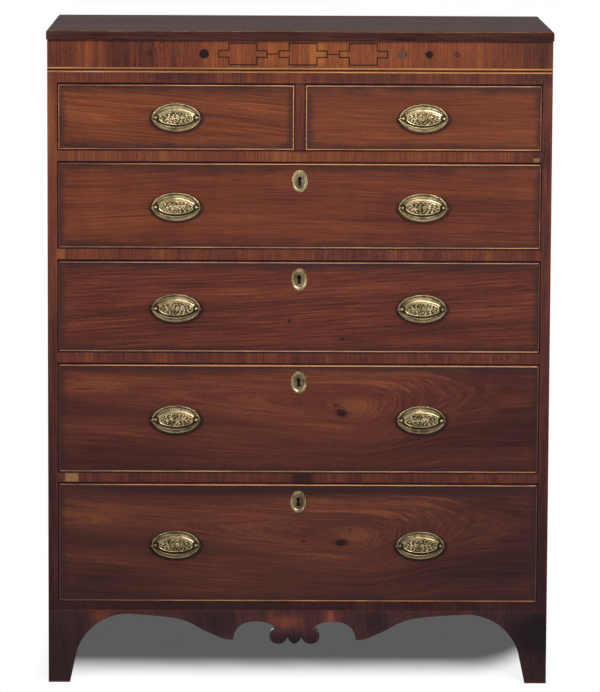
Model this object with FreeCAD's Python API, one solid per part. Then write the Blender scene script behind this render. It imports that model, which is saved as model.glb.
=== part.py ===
import FreeCAD, Part
import math
import os

# Inlaid mahogany tall chest: two short over four long cock-beaded drawers,
# on a shaped apron with bracket feet.
# Millimetres. +X is the viewer's right, +Y runs from the front to the back, +Z is up.
# The origin lies on the floor, half-way between the sides,
# and half-way between the foremost brass and the back.

V = FreeCAD.Vector

# ---- case ----
case_width = 1046.0
case_depth = 520.0
side_thickness = 20.5
top_thickness = 19.0
top_overhang_front = 3.0
top_overhang_side = 2.0
top_edge_radius = 4.0
base_height = 154.5
bottom_thickness = 18.5
facing_thickness = 1.5

# Drawer openings and the rails between them, from the lowest row up.
opening_heights = (252.5, 230.0, 192.5, 180.5, 138.5)
rail_heights = (22.0, 24.0, 25.0, 24.5)
centre_stile_width = 20.0

# Front above the drawers, from the openings up.
band_height = 23.0
light_line_height = 3.5
dark_line_height = 3.0
frieze_height = 57.5
frieze_rail_thickness = 22.0

# ---- case joinery ----
housing_depth = 6.0
rail_depth = 70.0
runner_width = 45.0
centre_runner_width = 80.0
dust_panel_thickness = 8.0
dust_panel_tongue = 8.0
guide_height = 16.0
kicker_height = 22.0
kicker_width = 40.0
back_thickness = 11.0
back_rabbet = 10.0
back_board_count = 5
back_board_gap = 1.0
back_rail_height = 60.0
back_rail_thickness = 20.0
cleat_size = 22.0
stop_length = 40.0
stop_depth = 12.0
stop_height = 5.0
stop_inset = 150.0

# ---- fastenings ----
nail_radius = 1.4
nail_length = 26.0
nail_head_radius = 3.0
nail_head_height = 1.0
nail_edge = 45.0
screw_radius = 2.2
screw_head_radius = 4.5
screw_head_height = 3.0
screw_bite = 10.0
screw_inset = 90.0

# ---- base ----
apron_thickness = 20.5
foot_width = 45.0
foot_line_height = 66.0
foot_line_lean = 14.0
foot_arc_radius = 114.0
arch_web = 7.8
arch_start = 168.0
rear_bracket_length = 150.0

# Points of the front apron's lower edge, as distance from the pendant's middle and drop below the case.
apron_sweep = ((315.0, 10.3), (290.0, 12.3), (262.0, 15.3), (236.0, 20.5), (214.0, 29.5), (190.0, 43.0),
               (168.0, 52.8), (150.0, 60.2), (138.0, 62.8))
apron_tip = (128.7, 62.2)
pendant_arch = ((126.3, 50.0), (117.0, 35.5), (104.0, 27.3), (87.0, 23.8), (67.0, 24.4), (50.5, 29.6))
pendant_cusp = (36.0, 42.0)
pendant_lobe = ((40.0, 40.7), (45.0, 41.2), (50.0, 45.5), (52.4, 52.5), (51.6, 60.0), (47.5, 66.5),
                (41.0, 70.4), (33.0, 71.4), (25.0, 69.4), (19.0, 64.6))
pendant_notch = (14.4, 57.6)
point_bulge = (9.3, 65.8)
point_drop = 71.4
pendant_offset = 6.6

foot_block_inset = 2.5
foot_block_lift = 4.0
glue_block_size = 20.0
glue_block_length = 60.0
pendant_block_length = 120.0

# ---- frieze inlay ----
inlay_offset = 6.0
inlay_line_width = 2.4
cartouche_count = 3
cartouche_body = (60.0, 47.0)
cartouche_tab = (21.0, 16.0)
cartouche_link = 22.5
dot_offsets = (204.5, 261.0, 318.0)
dot_diameters = (20.0, 15.6, 11.7)

# ---- drawers ----
drawer_depth = 485.0
front_thickness = 20.0
front_gap_side = 1.5
front_gap_top = 2.0
front_gap_bottom = 1.0
running_gap = 0.3
drawer_side_thickness = 11.0
drawer_back_thickness = 11.0
drawer_side_drop = 6.0
drawer_back_drop = 12.0
drawer_bottom_thickness = 7.0
drawer_bottom_lift = 8.0
groove_depth = 4.0
front_groove_depth = 6.0
bead_width = 3.8
bead_proud = 2.0
bead_rabbet = 7.0
tail_pitch = 42.0
tail_share = 0.28
tail_slope = 0.16
tail_clear_of_bead = 0.5

# ---- brasses ----
handle_drops = (5.0, 2.5, 3.5, 3.0, 1.0)
plate_end_margin = 9.5
plate_height = 58.0
plate_thickness = 1.0
plate_rim_width = 2.2
plate_rim_height = 2.0
boss_post_clearance = 1.3
boss_height = 33.0
boss_slope = 4.0
boss_rise = 4.5
post_spacing = 84.0
post_head_radius = 3.8
post_neck_radius = 2.3
post_collar_radius = 4.2
post_collar_height = 1.2
post_reach = 7.0
post_hole_clearance = 0.2
nut_size = 10.0
nut_thickness = 4.0
post_end = 3.0
pin_radius = 1.5
pin_clearance = 0.05
pin_stop_short = 2.0
pin_root = 1.0
bail_tip_reach = 12.0
bail_tip_width = 5.0
bail_drop = 27.5
bail_inner_drop = 16.5
bail_thickness = 5.0
bail_edge_radius = 1.0

# ---- locks ----
keyhole_drop = 39.0
keyhole_radius = 3.3
keyhole_slot_width = 5.0
keyhole_length = 19.0
keyhole_wood_clearance = 0.6
escutcheon_width = 33.0
escutcheon_height = 47.0
escutcheon_rise = 2.0
escutcheon_field_scale = 0.62
escutcheon_pin_radius = 1.3
escutcheon_pin_clearance = 1.0
lock_width = 64.0
lock_height = 54.0
lock_depth = 12.6
bolt_width = 26.0
bolt_thickness = 6.0
bolt_height = 20.0
bolt_clearance = 0.2
bolt_travel = 8.0
bolt_set_back = 3.0
mortise_clearance = 1.5
key_pin_radius = 1.4
key_chamber_radius = 7.0

# ---- places worked out from the sizes above ----
plate_length = post_spacing + 2 * plate_end_margin
boss_length = post_spacing - 2 * (post_collar_radius + boss_post_clearance)
bail_half_length = post_spacing / 2 + bail_tip_reach
brass_reach = post_reach + max(post_head_radius, bail_thickness / 2)
front_y = -(case_depth - brass_reach) / 2
back_y = front_y + case_depth
half_width = case_width / 2
half_opening = half_width - side_thickness
half_stile = centre_stile_width / 2
case_bottom = base_height
arch_height = base_height - arch_web
row_bottoms = []
row_tops = []
level = case_bottom + bottom_thickness
for row, opening_height in enumerate(opening_heights):
    row_bottoms.append(level)
    row_tops.append(level + opening_height)
    level = level + opening_height
    if row < len(rail_heights):
        level = level + rail_heights[row]
short_row = len(opening_heights) - 1
band_bottom = row_tops[short_row]
lower_line_bottom = band_bottom + band_height
dark_line_bottom = lower_line_bottom + light_line_height
upper_line_bottom = dark_line_bottom + dark_line_height
frieze_bottom = upper_line_bottom + light_line_height
case_top = frieze_bottom + frieze_height
overall_height = case_top + top_thickness
structure_y = front_y + facing_thickness
back_inner_y = back_y - back_thickness
drawer_back_y = front_y + drawer_depth
front_back_y = front_y + front_thickness
pivot_y = front_y - post_reach
short_centre = (half_stile + half_opening) / 2


def block(x0, x1, y0, y1, z0, z1):
    """A box between two corners."""
    return Part.makeBox(x1 - x0, y1 - y0, z1 - z0, V(x0, y0, z0))


def cut_all(shape, tools):
    """The shape with every tool taken away."""
    for tool in tools:
        shape = shape.cut(tool)
    return shape


def fuse_all(shapes):
    """One solid from overlapping or touching shapes."""
    whole = shapes[0]
    for shape in shapes[1:]:
        whole = whole.fuse(shape)
    return whole.removeSplitter()


def group(solids):
    """Separate solids kept together in one node."""
    return Part.makeCompound(solids)


def mirrored(shape):
    """The same piece on the other side of the chest."""
    return shape.mirror(V(0, 0, 0), V(1, 0, 0))


def save(name, shape):
    """Write one node."""
    shape.exportStep("parts/" + name + ".step")


def rod_y(radius, x, y0, y1, z):
    """A round rod that runs front to back."""
    return Part.makeCylinder(radius, y1 - y0, V(x, y0, z), V(0, 1, 0))


def rod_x(radius, x0, x1, y, z):
    """A round rod that runs across."""
    return Part.makeCylinder(radius, x1 - x0, V(x0, y, z), V(1, 0, 0))


def rod_z(radius, x, y, z0, z1):
    """A round rod that stands upright."""
    return Part.makeCylinder(radius, z1 - z0, V(x, y, z0))


def front_prism(points, y0, y1):
    """A straight-sided outline in the front plane, given as (x, z), carried from y0 to y1."""
    corners = [V(x, y0, z) for x, z in points]
    wire = Part.makePolygon(corners + corners[:1])
    return Part.Face(wire).extrude(V(0, y1 - y0, 0))


def side_prism(points, x0, x1):
    """A straight-sided outline in the side plane, given as (y, z), carried from x0 to x1."""
    corners = [V(x0, y, z) for y, z in points]
    wire = Part.makePolygon(corners + corners[:1])
    return Part.Face(wire).extrude(V(x1 - x0, 0, 0))


def oval_edge(x, y, z, half_long, half_short, upright):
    """An ellipse in a plane that faces the front, long way across or upright."""
    ellipse = Part.Ellipse(V(0, 0, 0), half_long, half_short)
    edge = ellipse.toShape()
    edge.rotate(V(0, 0, 0), V(1, 0, 0), 90)
    if upright:
        edge.rotate(V(0, 0, 0), V(0, 1, 0), 90)
    edge.translate(V(x, y, z))
    return Part.Wire(edge)


def oval_disc(x, y0, y1, z, half_long, half_short, upright=False):
    """A flat oval plate between two depths."""
    return Part.Face(oval_edge(x, y0, z, half_long, half_short, upright)).extrude(V(0, y1 - y0, 0))


def oval_dome(x, y0, y1, z, half_long, half_short, inset):
    """A raised oval with sloping sides, wide at y1 and narrower by the inset at y0."""
    wide = oval_edge(x, y1, z, half_long, half_short, False)
    narrow = oval_edge(x, y0, z, half_long - inset, half_short - inset, False)
    return Part.makeLoft([wide, narrow], True)


# ---- case ----

def make_top_board():
    """The thin top, its front and side edges eased, its back edge square with the back."""
    half = half_width + top_overhang_side
    board = block(-half, half, front_y - top_overhang_front, back_y, case_top, overall_height)
    eased = []
    for edge in board.Edges:
        centre = edge.CenterOfMass
        is_top = abs(centre.z - overall_height) < top_edge_radius
        is_back = abs(centre.y - back_y) < top_edge_radius
        if is_top and not is_back:
            eased.append(edge)
    board = board.makeFillet(top_edge_radius, eased)
    return cut_all(board, top_screws())


def housing_tools():
    """The space of each rail level in the right-hand side."""
    reach = half_opening + housing_depth
    tools = [block(half_opening, reach, structure_y, back_y, case_bottom, case_bottom + bottom_thickness)]
    for row, height in enumerate(rail_heights):
        tools.append(block(half_opening, reach, structure_y, back_y, row_tops[row], row_tops[row] + height))
    return tools


def make_side_right():
    """A case side with housings for the rails and runners and a rabbet for the back."""
    side = block(half_opening, half_width, structure_y, back_y, case_bottom, case_top)
    rabbet = block(half_opening, half_opening + back_rabbet, back_inner_y, back_y, case_bottom, case_top)
    return cut_all(side, housing_tools() + [rabbet])


def make_bottom_board():
    """The board under the lowest drawer, housed in both sides."""
    reach = half_opening + housing_depth
    board = block(-reach, reach, structure_y, back_inner_y, case_bottom, case_bottom + bottom_thickness)
    return cut_all(board, back_nails())


def bolt_mortise(row):
    """The pocket over a lock bolt, in the underside of the rail above a long drawer."""
    half = bolt_width / 2 + mortise_clearance
    y0, y1 = bolt_depths()
    depth = bolt_travel + mortise_clearance
    z = row_tops[row]
    return block(-half, half, y0 - mortise_clearance, y1 + mortise_clearance, z, z + depth)


def make_case_rails():
    """Frieze rail, four drawer rails with their bolt mortises, and the back top rail."""
    reach = half_opening + housing_depth
    frieze_back = structure_y + frieze_rail_thickness
    pieces = [block(-half_opening, half_opening, structure_y, frieze_back, band_bottom, case_top)]
    for row, height in enumerate(rail_heights):
        z0 = row_tops[row]
        rail = block(-reach, reach, structure_y, front_y + rail_depth, z0, z0 + height)
        pieces.append(cut_all(rail, [bolt_mortise(row), dust_panel(row)]))
    back_front = back_inner_y - back_rail_thickness
    low = case_top - back_rail_height
    back_rail = block(-half_opening, half_opening, back_front, back_inner_y, low, case_top)
    pieces.append(cut_all(back_rail, back_nails() + top_screws()))
    return group(pieces)


def dust_panel_heights(row):
    """Lowest and highest level of the dust panel above a row, half-way up its rail."""
    middle = row_tops[row] + rail_heights[row] / 2
    return middle - dust_panel_thickness / 2, middle + dust_panel_thickness / 2


def dust_panel(row):
    """A thin panel held in grooves of the rail and the runners."""
    z0, z1 = dust_panel_heights(row)
    half = half_opening - runner_width + dust_panel_tongue
    return block(-half, half, front_y + rail_depth - dust_panel_tongue, back_inner_y, z0, z1)


def runner(row, x0, x1):
    """A runner behind a rail, grooved for the dust panel."""
    z0 = row_tops[row]
    return block(x0, x1, front_y + rail_depth, back_inner_y, z0, z0 + rail_heights[row])


def make_dust_frames():
    """Runners and dust panels at the four levels, with the wide centre runner under the short drawers."""
    pieces = []
    inner = half_opening - runner_width
    for row in range(len(rail_heights)):
        panel = dust_panel(row)
        right = runner(row, inner, half_opening + housing_depth).cut(panel)
        pieces.extend([right, mirrored(right)])
        if row == short_row - 1:
            centre = runner(row, -centre_runner_width / 2, centre_runner_width / 2)
            pieces.append(centre.cut(panel))
        pieces.append(panel)
    return group([solid for piece in pieces for solid in piece.Solids])


def make_centre_stile():
    """The upright between the short drawers."""
    z0 = row_bottoms[short_row]
    return block(-half_stile, half_stile, structure_y, front_y + rail_depth, z0, band_bottom)


def drawer_stop(x, row):
    """A small block on the rail that the back of a drawer front meets."""
    half = stop_length / 2
    y0 = front_back_y + running_gap
    z0 = row_bottoms[row]
    return block(x - half, x + half, y0, y0 + stop_depth, z0, z0 + stop_height)


def make_guides_and_stops():
    """Kickers over the short drawers, the guide between them and the stops of every drawer."""
    pieces = []
    kicker_front = structure_y + frieze_rail_thickness
    kicker_back = back_inner_y
    kicker_top = band_bottom + kicker_height
    half = kicker_width / 2
    for middle in (half - half_opening, 0, half_opening - half):
        x0, x1 = middle - half, middle + half
        pieces.append(block(x0, x1, kicker_front, kicker_back, band_bottom, kicker_top))
    guide_bottom = row_bottoms[short_row]
    pieces.append(block(-half_stile, half_stile, front_y + rail_depth, back_inner_y,
                        guide_bottom, guide_bottom + guide_height))
    for row in range(short_row):
        stop = drawer_stop(half_opening - stop_inset, row)
        pieces.extend([stop, mirrored(stop)])
    for x in (half_stile + stop_inset / 2, half_opening - stop_inset / 2):
        stop = drawer_stop(x, short_row)
        pieces.extend([stop, mirrored(stop)])
    return group(pieces)


def back_board_spans():
    """Left and right edge of each upright back board."""
    reach = half_opening + back_rabbet
    width = (2 * reach - back_board_gap * (back_board_count - 1)) / back_board_count
    spans = []
    for index in range(back_board_count):
        x0 = -reach + index * (width + back_board_gap)
        spans.append((x0, x0 + width))
    return spans


def back_nails():
    """Two nails at the foot and two at the head of each back board."""
    nails = []
    for x0, x1 in back_board_spans():
        for x in (x0 + nail_edge, x1 - nail_edge):
            for z in (case_bottom + bottom_thickness / 2, case_top - back_rail_height / 2):
                shank = rod_y(nail_radius, x, back_y - nail_length, back_y, z)
                head = rod_y(nail_head_radius, x, back_y - nail_head_height, back_y, z)
                nails.append(fuse_all([shank, head]))
    return nails


def make_back_boards():
    """Upright boards in the rabbets of the sides."""
    nails = back_nails()
    boards = []
    for x0, x1 in back_board_spans():
        board = block(x0, x1, back_inner_y, back_y, case_bottom, case_top)
        boards.append(cut_all(board, nails))
    return group(boards)


def top_screws():
    """Screws up through the side cleats and the back rail into the top."""
    screws = []
    cleat_x = half_opening - cleat_size / 2
    front = structure_y + frieze_rail_thickness + screw_inset
    back = back_inner_y - back_rail_thickness - screw_inset
    places = [(x, y, cleat_size) for x in (-cleat_x, cleat_x) for y in (front, (front + back) / 2, back)]
    rail_y = back_inner_y - back_rail_thickness / 2
    places.extend([(x, rail_y, back_rail_height) for x in (-short_centre, short_centre)])
    for x, y, thickness in places:
        z0 = case_top - thickness
        shank = rod_z(screw_radius, x, y, z0, case_top + screw_bite)
        head = rod_z(screw_head_radius, x, y, z0, z0 + screw_head_height)
        screws.append(fuse_all([shank, head]))
    return screws


def top_cleats():
    """Strips under the top, along both sides and behind the frieze rail."""
    front = structure_y + frieze_rail_thickness
    back = back_inner_y - back_rail_thickness
    side = block(half_opening - cleat_size, half_opening, front, back, case_top - cleat_size, case_top)
    side = cut_all(side, top_screws())
    return [side, mirrored(side)]


# ---- veneers and inlay ----

def cartouche_centres():
    """Middle of each cartouche, spaced by its whole length and the link between."""
    pitch = cartouche_body[0] + 2 * cartouche_tab[0] + cartouche_link
    middle = (cartouche_count - 1) / 2
    return [inlay_offset + (index - middle) * pitch for index in range(cartouche_count)]


def cartouche_shape(x, inset):
    """A tall rectangle with a low tab at each end, drawn in by the inset."""
    half_body = cartouche_body[0] / 2 - inset
    half_height = cartouche_body[1] / 2 - inset
    half_tab = half_body + cartouche_tab[0]
    half_tab_height = cartouche_tab[1] / 2 - inset
    z = frieze_bottom + frieze_height / 2
    body = block(x - half_body, x + half_body, front_y, structure_y, z - half_height, z + half_height)
    tabs = block(x - half_tab, x + half_tab, front_y, structure_y, z - half_tab_height, z + half_tab_height)
    return fuse_all([body, tabs])


def link_lines():
    """The short straight lines that join the cartouches."""
    z = frieze_bottom + frieze_height / 2
    half = inlay_line_width / 2
    lines = []
    reach = cartouche_body[0] / 2 + cartouche_tab[0]
    centres = cartouche_centres()
    for left, right in zip(centres[:-1], centres[1:]):
        lines.append(block(left + reach, right - reach, front_y, structure_y, z - half, z + half))
    return lines


def dots():
    """Round inlays on both sides of the cartouches, smaller outwards."""
    z = frieze_bottom + frieze_height / 2
    discs = []
    for offset, diameter in zip(dot_offsets, dot_diameters):
        for x in (inlay_offset - offset, inlay_offset + offset):
            discs.append(rod_y(diameter / 2, x, front_y, structure_y, z))
    return discs


def full_width_strip(z0, z1):
    """A facing strip across the whole front."""
    return block(-half_width, half_width, front_y, structure_y, z0, z1)


def make_frieze_veneer():
    """The frieze field around the inlay and the panels inside the cartouches."""
    outlines = [cartouche_shape(x, 0) for x in cartouche_centres()]
    field = cut_all(full_width_strip(frieze_bottom, case_top), outlines + link_lines() + dots())
    panels = [cartouche_shape(x, inlay_line_width) for x in cartouche_centres()]
    return group([field] + panels)


def make_frieze_inlay():
    """Dark lines, links and dots of the frieze, and the dark line of the stringing."""
    rings = [cartouche_shape(x, 0).cut(cartouche_shape(x, inlay_line_width)) for x in cartouche_centres()]
    dark_line = full_width_strip(dark_line_bottom, upper_line_bottom)
    return group(rings + link_lines() + dots() + [dark_line])


def make_stringing():
    """The two light lines of the stringing."""
    lower = full_width_strip(lower_line_bottom, dark_line_bottom)
    upper = full_width_strip(upper_line_bottom, frieze_bottom)
    return group([lower, upper])


def make_face_veneers():
    """Facings of the side edges, of the band and the rails, and of the centre stile."""
    stile = block(half_opening, half_width, front_y, structure_y, case_bottom, lower_line_bottom)
    pieces = [stile, mirrored(stile)]
    levels = [(case_bottom, case_bottom + bottom_thickness), (band_bottom, lower_line_bottom)]
    levels.extend([(row_tops[row], row_tops[row] + height) for row, height in enumerate(rail_heights)])
    for z0, z1 in levels:
        pieces.append(block(-half_opening, half_opening, front_y, structure_y, z0, z1))
    pieces.append(block(-half_stile, half_stile, front_y, structure_y, row_bottoms[short_row], band_bottom))
    return group(pieces)


# ---- base ----

def foot_edges(corner, direction):
    """Inner edge of a bracket foot: a leaning line and a quarter arc that ends level with the arch.

    The corner is the foot's outer edge and the direction points from it along the apron.
    """
    foot_inner = corner + direction * foot_width
    knee = corner + direction * (foot_width + foot_line_lean)
    crown = corner + direction * arch_start
    centre_z = arch_height - foot_arc_radius
    middle_angle = (math.atan2(foot_line_height - centre_z, arch_start - foot_width - foot_line_lean)
                    + math.pi / 2) / 2
    middle = V(crown - direction * foot_arc_radius * math.cos(middle_angle),
               centre_z + foot_arc_radius * math.sin(middle_angle), 0)
    knee_point = V(knee, foot_line_height, 0)
    line = Part.LineSegment(V(foot_inner, 0, 0), knee_point).toShape()
    arc = Part.Arc(knee_point, middle, V(crown, arch_height, 0)).toShape()
    return [line, arc]


def under_case(point, lean):
    """A point of the apron's edge, given as distance from the pendant's middle and drop below the case."""
    return V(point[0] + lean, case_bottom - point[1], 0)


def curve_through(points, lean):
    """A smooth edge through points of the apron's outline, each given as for under_case."""
    curve = Part.BSplineCurve()
    curve.interpolate([under_case(point, lean) for point in points])
    return curve.toShape()


def half_apron_edges(lean):
    """Lower outline of the right half of the front apron, from the foot to the point of the pendant.

    The lean is how far the pendant's middle stands from the middle of the case.
    """
    edges = foot_edges(half_width, -1)
    crown = (half_width - arch_start - lean, case_bottom - arch_height)
    edges.append(curve_through((crown, *apron_sweep, apron_tip), lean))
    edges.append(curve_through((apron_tip, *pendant_arch, pendant_cusp), lean))
    edges.append(curve_through((pendant_cusp, *pendant_lobe, pendant_notch), lean))
    notch = under_case(pendant_notch, lean)
    point = under_case((0, point_drop), lean)
    edges.append(Part.Arc(notch, under_case(point_bulge, lean), point).toShape())
    return edges


def closed_by(edges, corners):
    """A face bounded by the edges, in order, and straight lines through the corners back to the start."""
    start = edges[0].firstVertex().Point
    points = [edges[-1].lastVertex().Point] + corners + [start]
    for a, b in zip(points[:-1], points[1:]):
        edges = edges + [Part.LineSegment(a, b).toShape()]
    return Part.Face(Part.Wire(edges))


def stand_up(shape):
    """Turn a shape that is drawn in plan, with its height along +Y, so that it stands."""
    return shape.rotated(V(0, 0, 0), V(1, 0, 0), 90)


def right_apron_half(lean):
    """The right half of the front apron, mitred at its end, with the pendant's middle at the lean."""
    top_corners = [V(lean, base_height, 0), V(half_width, base_height, 0), V(half_width, 0, 0)]
    face = stand_up(closed_by(half_apron_edges(lean), top_corners))
    half = face.extrude(V(0, apron_thickness, 0))
    half.translate(V(0, front_y, 0))
    return half.cut(mitre_wedge())


def make_apron_front():
    """The front apron with its pendant, which hangs a little left of the middle, and the front feet."""
    right = right_apron_half(-pendant_offset)
    left = mirrored(right_apron_half(pendant_offset))
    return fuse_all([right, left])


def mitre_wedge():
    """The wedge behind the mitre at the right front corner of the base."""
    inner = half_width - apron_thickness
    inside = V(inner, front_y + apron_thickness, 0)
    outside = V(half_width, front_y, 0)
    far = V(half_width, front_y + apron_thickness, 0)
    wire = Part.makePolygon([inside, outside, far, inside])
    return Part.Face(wire).extrude(V(0, 0, base_height))


def make_side_apron_right():
    """The side apron with a foot at each end, mitred to the front."""
    edges = foot_edges(back_y, -1)
    front_foot = foot_edges(front_y, 1)
    crown = V(back_y - arch_start, arch_height, 0)
    front_crown = V(front_y + arch_start, arch_height, 0)
    edges.append(Part.LineSegment(crown, front_crown).toShape())
    edges.extend([front_foot[1], front_foot[0]])
    corners = [V(front_y, 0, 0), V(front_y, base_height, 0), V(back_y, base_height, 0), V(back_y, 0, 0)]
    start = V(back_y - foot_width, 0, 0)
    points = [V(front_y + foot_width, 0, 0)] + corners + [start]
    for a, b in zip(points[:-1], points[1:]):
        edges.append(Part.LineSegment(a, b).toShape())
    face = stand_up(Part.Face(Part.Wire(edges)))
    apron = face.rotated(V(0, 0, 0), V(0, 0, 1), 90).extrude(V(-apron_thickness, 0, 0))
    apron.translate(V(half_width, 0, 0))
    inner = half_width - apron_thickness
    corner = block(inner, half_width, front_y, front_y + apron_thickness, 0, base_height)
    return apron.cut(corner.cut(mitre_wedge()))


def make_rear_feet():
    """Brackets across the back, inside the side aprons."""
    inner = half_width - apron_thickness
    end = half_width - rear_bracket_length
    edges = foot_edges(half_width, -1)
    start = edges[0].firstVertex().Point
    points = [V(half_width - arch_start, arch_height, 0), V(half_width - arch_start, base_height, 0),
              V(half_width, base_height, 0), V(half_width, 0, 0), start]
    for a, b in zip(points[:-1], points[1:]):
        edges.append(Part.LineSegment(a, b).toShape())
    bracket = stand_up(Part.Face(Part.Wire(edges))).extrude(V(0, apron_thickness, 0))
    bracket.translate(V(0, back_y - apron_thickness, 0))
    kept = block(end, inner, back_y - apron_thickness, back_y, 0, base_height)
    right = bracket.common(kept)
    return group([right, mirrored(right)])


def make_base_blocks():
    """Corner blocks behind the feet, glue blocks under the bottom board and the cleats under the top."""
    pieces = []
    corner_x = half_width - apron_thickness
    front_in = front_y + apron_thickness
    back_in = back_y - apron_thickness
    size = foot_width - apron_thickness - foot_block_inset
    low = case_bottom - glue_block_size
    for y, inward in ((front_in, 1), (back_in, -1)):
        y0, y1 = sorted((y, y + inward * size))
        pieces.append(block(corner_x - size, corner_x, y0, y1, foot_block_lift, case_bottom))
        y0, y1 = sorted((y + inward * size, y + inward * (size + glue_block_length)))
        pieces.append(block(corner_x - glue_block_size, corner_x, y0, y1, low, case_bottom))
        y0, y1 = sorted((y, y + inward * glue_block_size))
        pieces.append(block(corner_x - size - glue_block_length, corner_x - size, y0, y1, low, case_bottom))
    pieces.extend([mirrored(piece) for piece in list(pieces)])
    half = pendant_block_length / 2
    pieces.append(block(-half, half, front_in, front_in + glue_block_size, low, case_bottom))
    pieces.extend(top_cleats())
    return group(pieces)


# ---- drawers ----

def drawer_spans(row, side):
    """Left and right edge of a drawer front: a long drawer, or the short one on the side named -1 or 1."""
    outer = half_opening - front_gap_side
    if row < short_row:
        return -outer, outer
    inner = half_stile + front_gap_side
    if side < 0:
        return -outer, -inner
    return inner, outer


def front_levels(row):
    """Lower and upper edge of a drawer front with its beads."""
    return row_bottoms[row] + front_gap_bottom, row_tops[row] - front_gap_top


def tail_places(z0, z1):
    """Middle height and pitch of the dovetails of a drawer corner."""
    count = max(2, round((z1 - z0) / tail_pitch))
    pitch = (z1 - z0) / count
    return [z0 + (index + 0.5) * pitch for index in range(count)], pitch


def tails(x0, x1, y_shoulder, y_end, z0, z1):
    """Dovetails that widen from the shoulder of a drawer side to their ends."""
    places, pitch = tail_places(z0, z1)
    narrow = pitch * tail_share
    wide = narrow + abs(y_end - y_shoulder) * tail_slope
    shapes = []
    for z in places:
        outline = [(y_shoulder, z - narrow), (y_end, z - wide), (y_end, z + wide), (y_shoulder, z + narrow)]
        shapes.append(side_prism(outline, x0, x1))
    return shapes


def handle_centres(row, side):
    """Middle of each handle of a drawer."""
    z = (row_bottoms[row] + row_tops[row]) / 2 - handle_drops[row]
    if row < short_row:
        return [(-short_centre, z), (short_centre, z)]
    return [(side * short_centre, z)]


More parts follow.
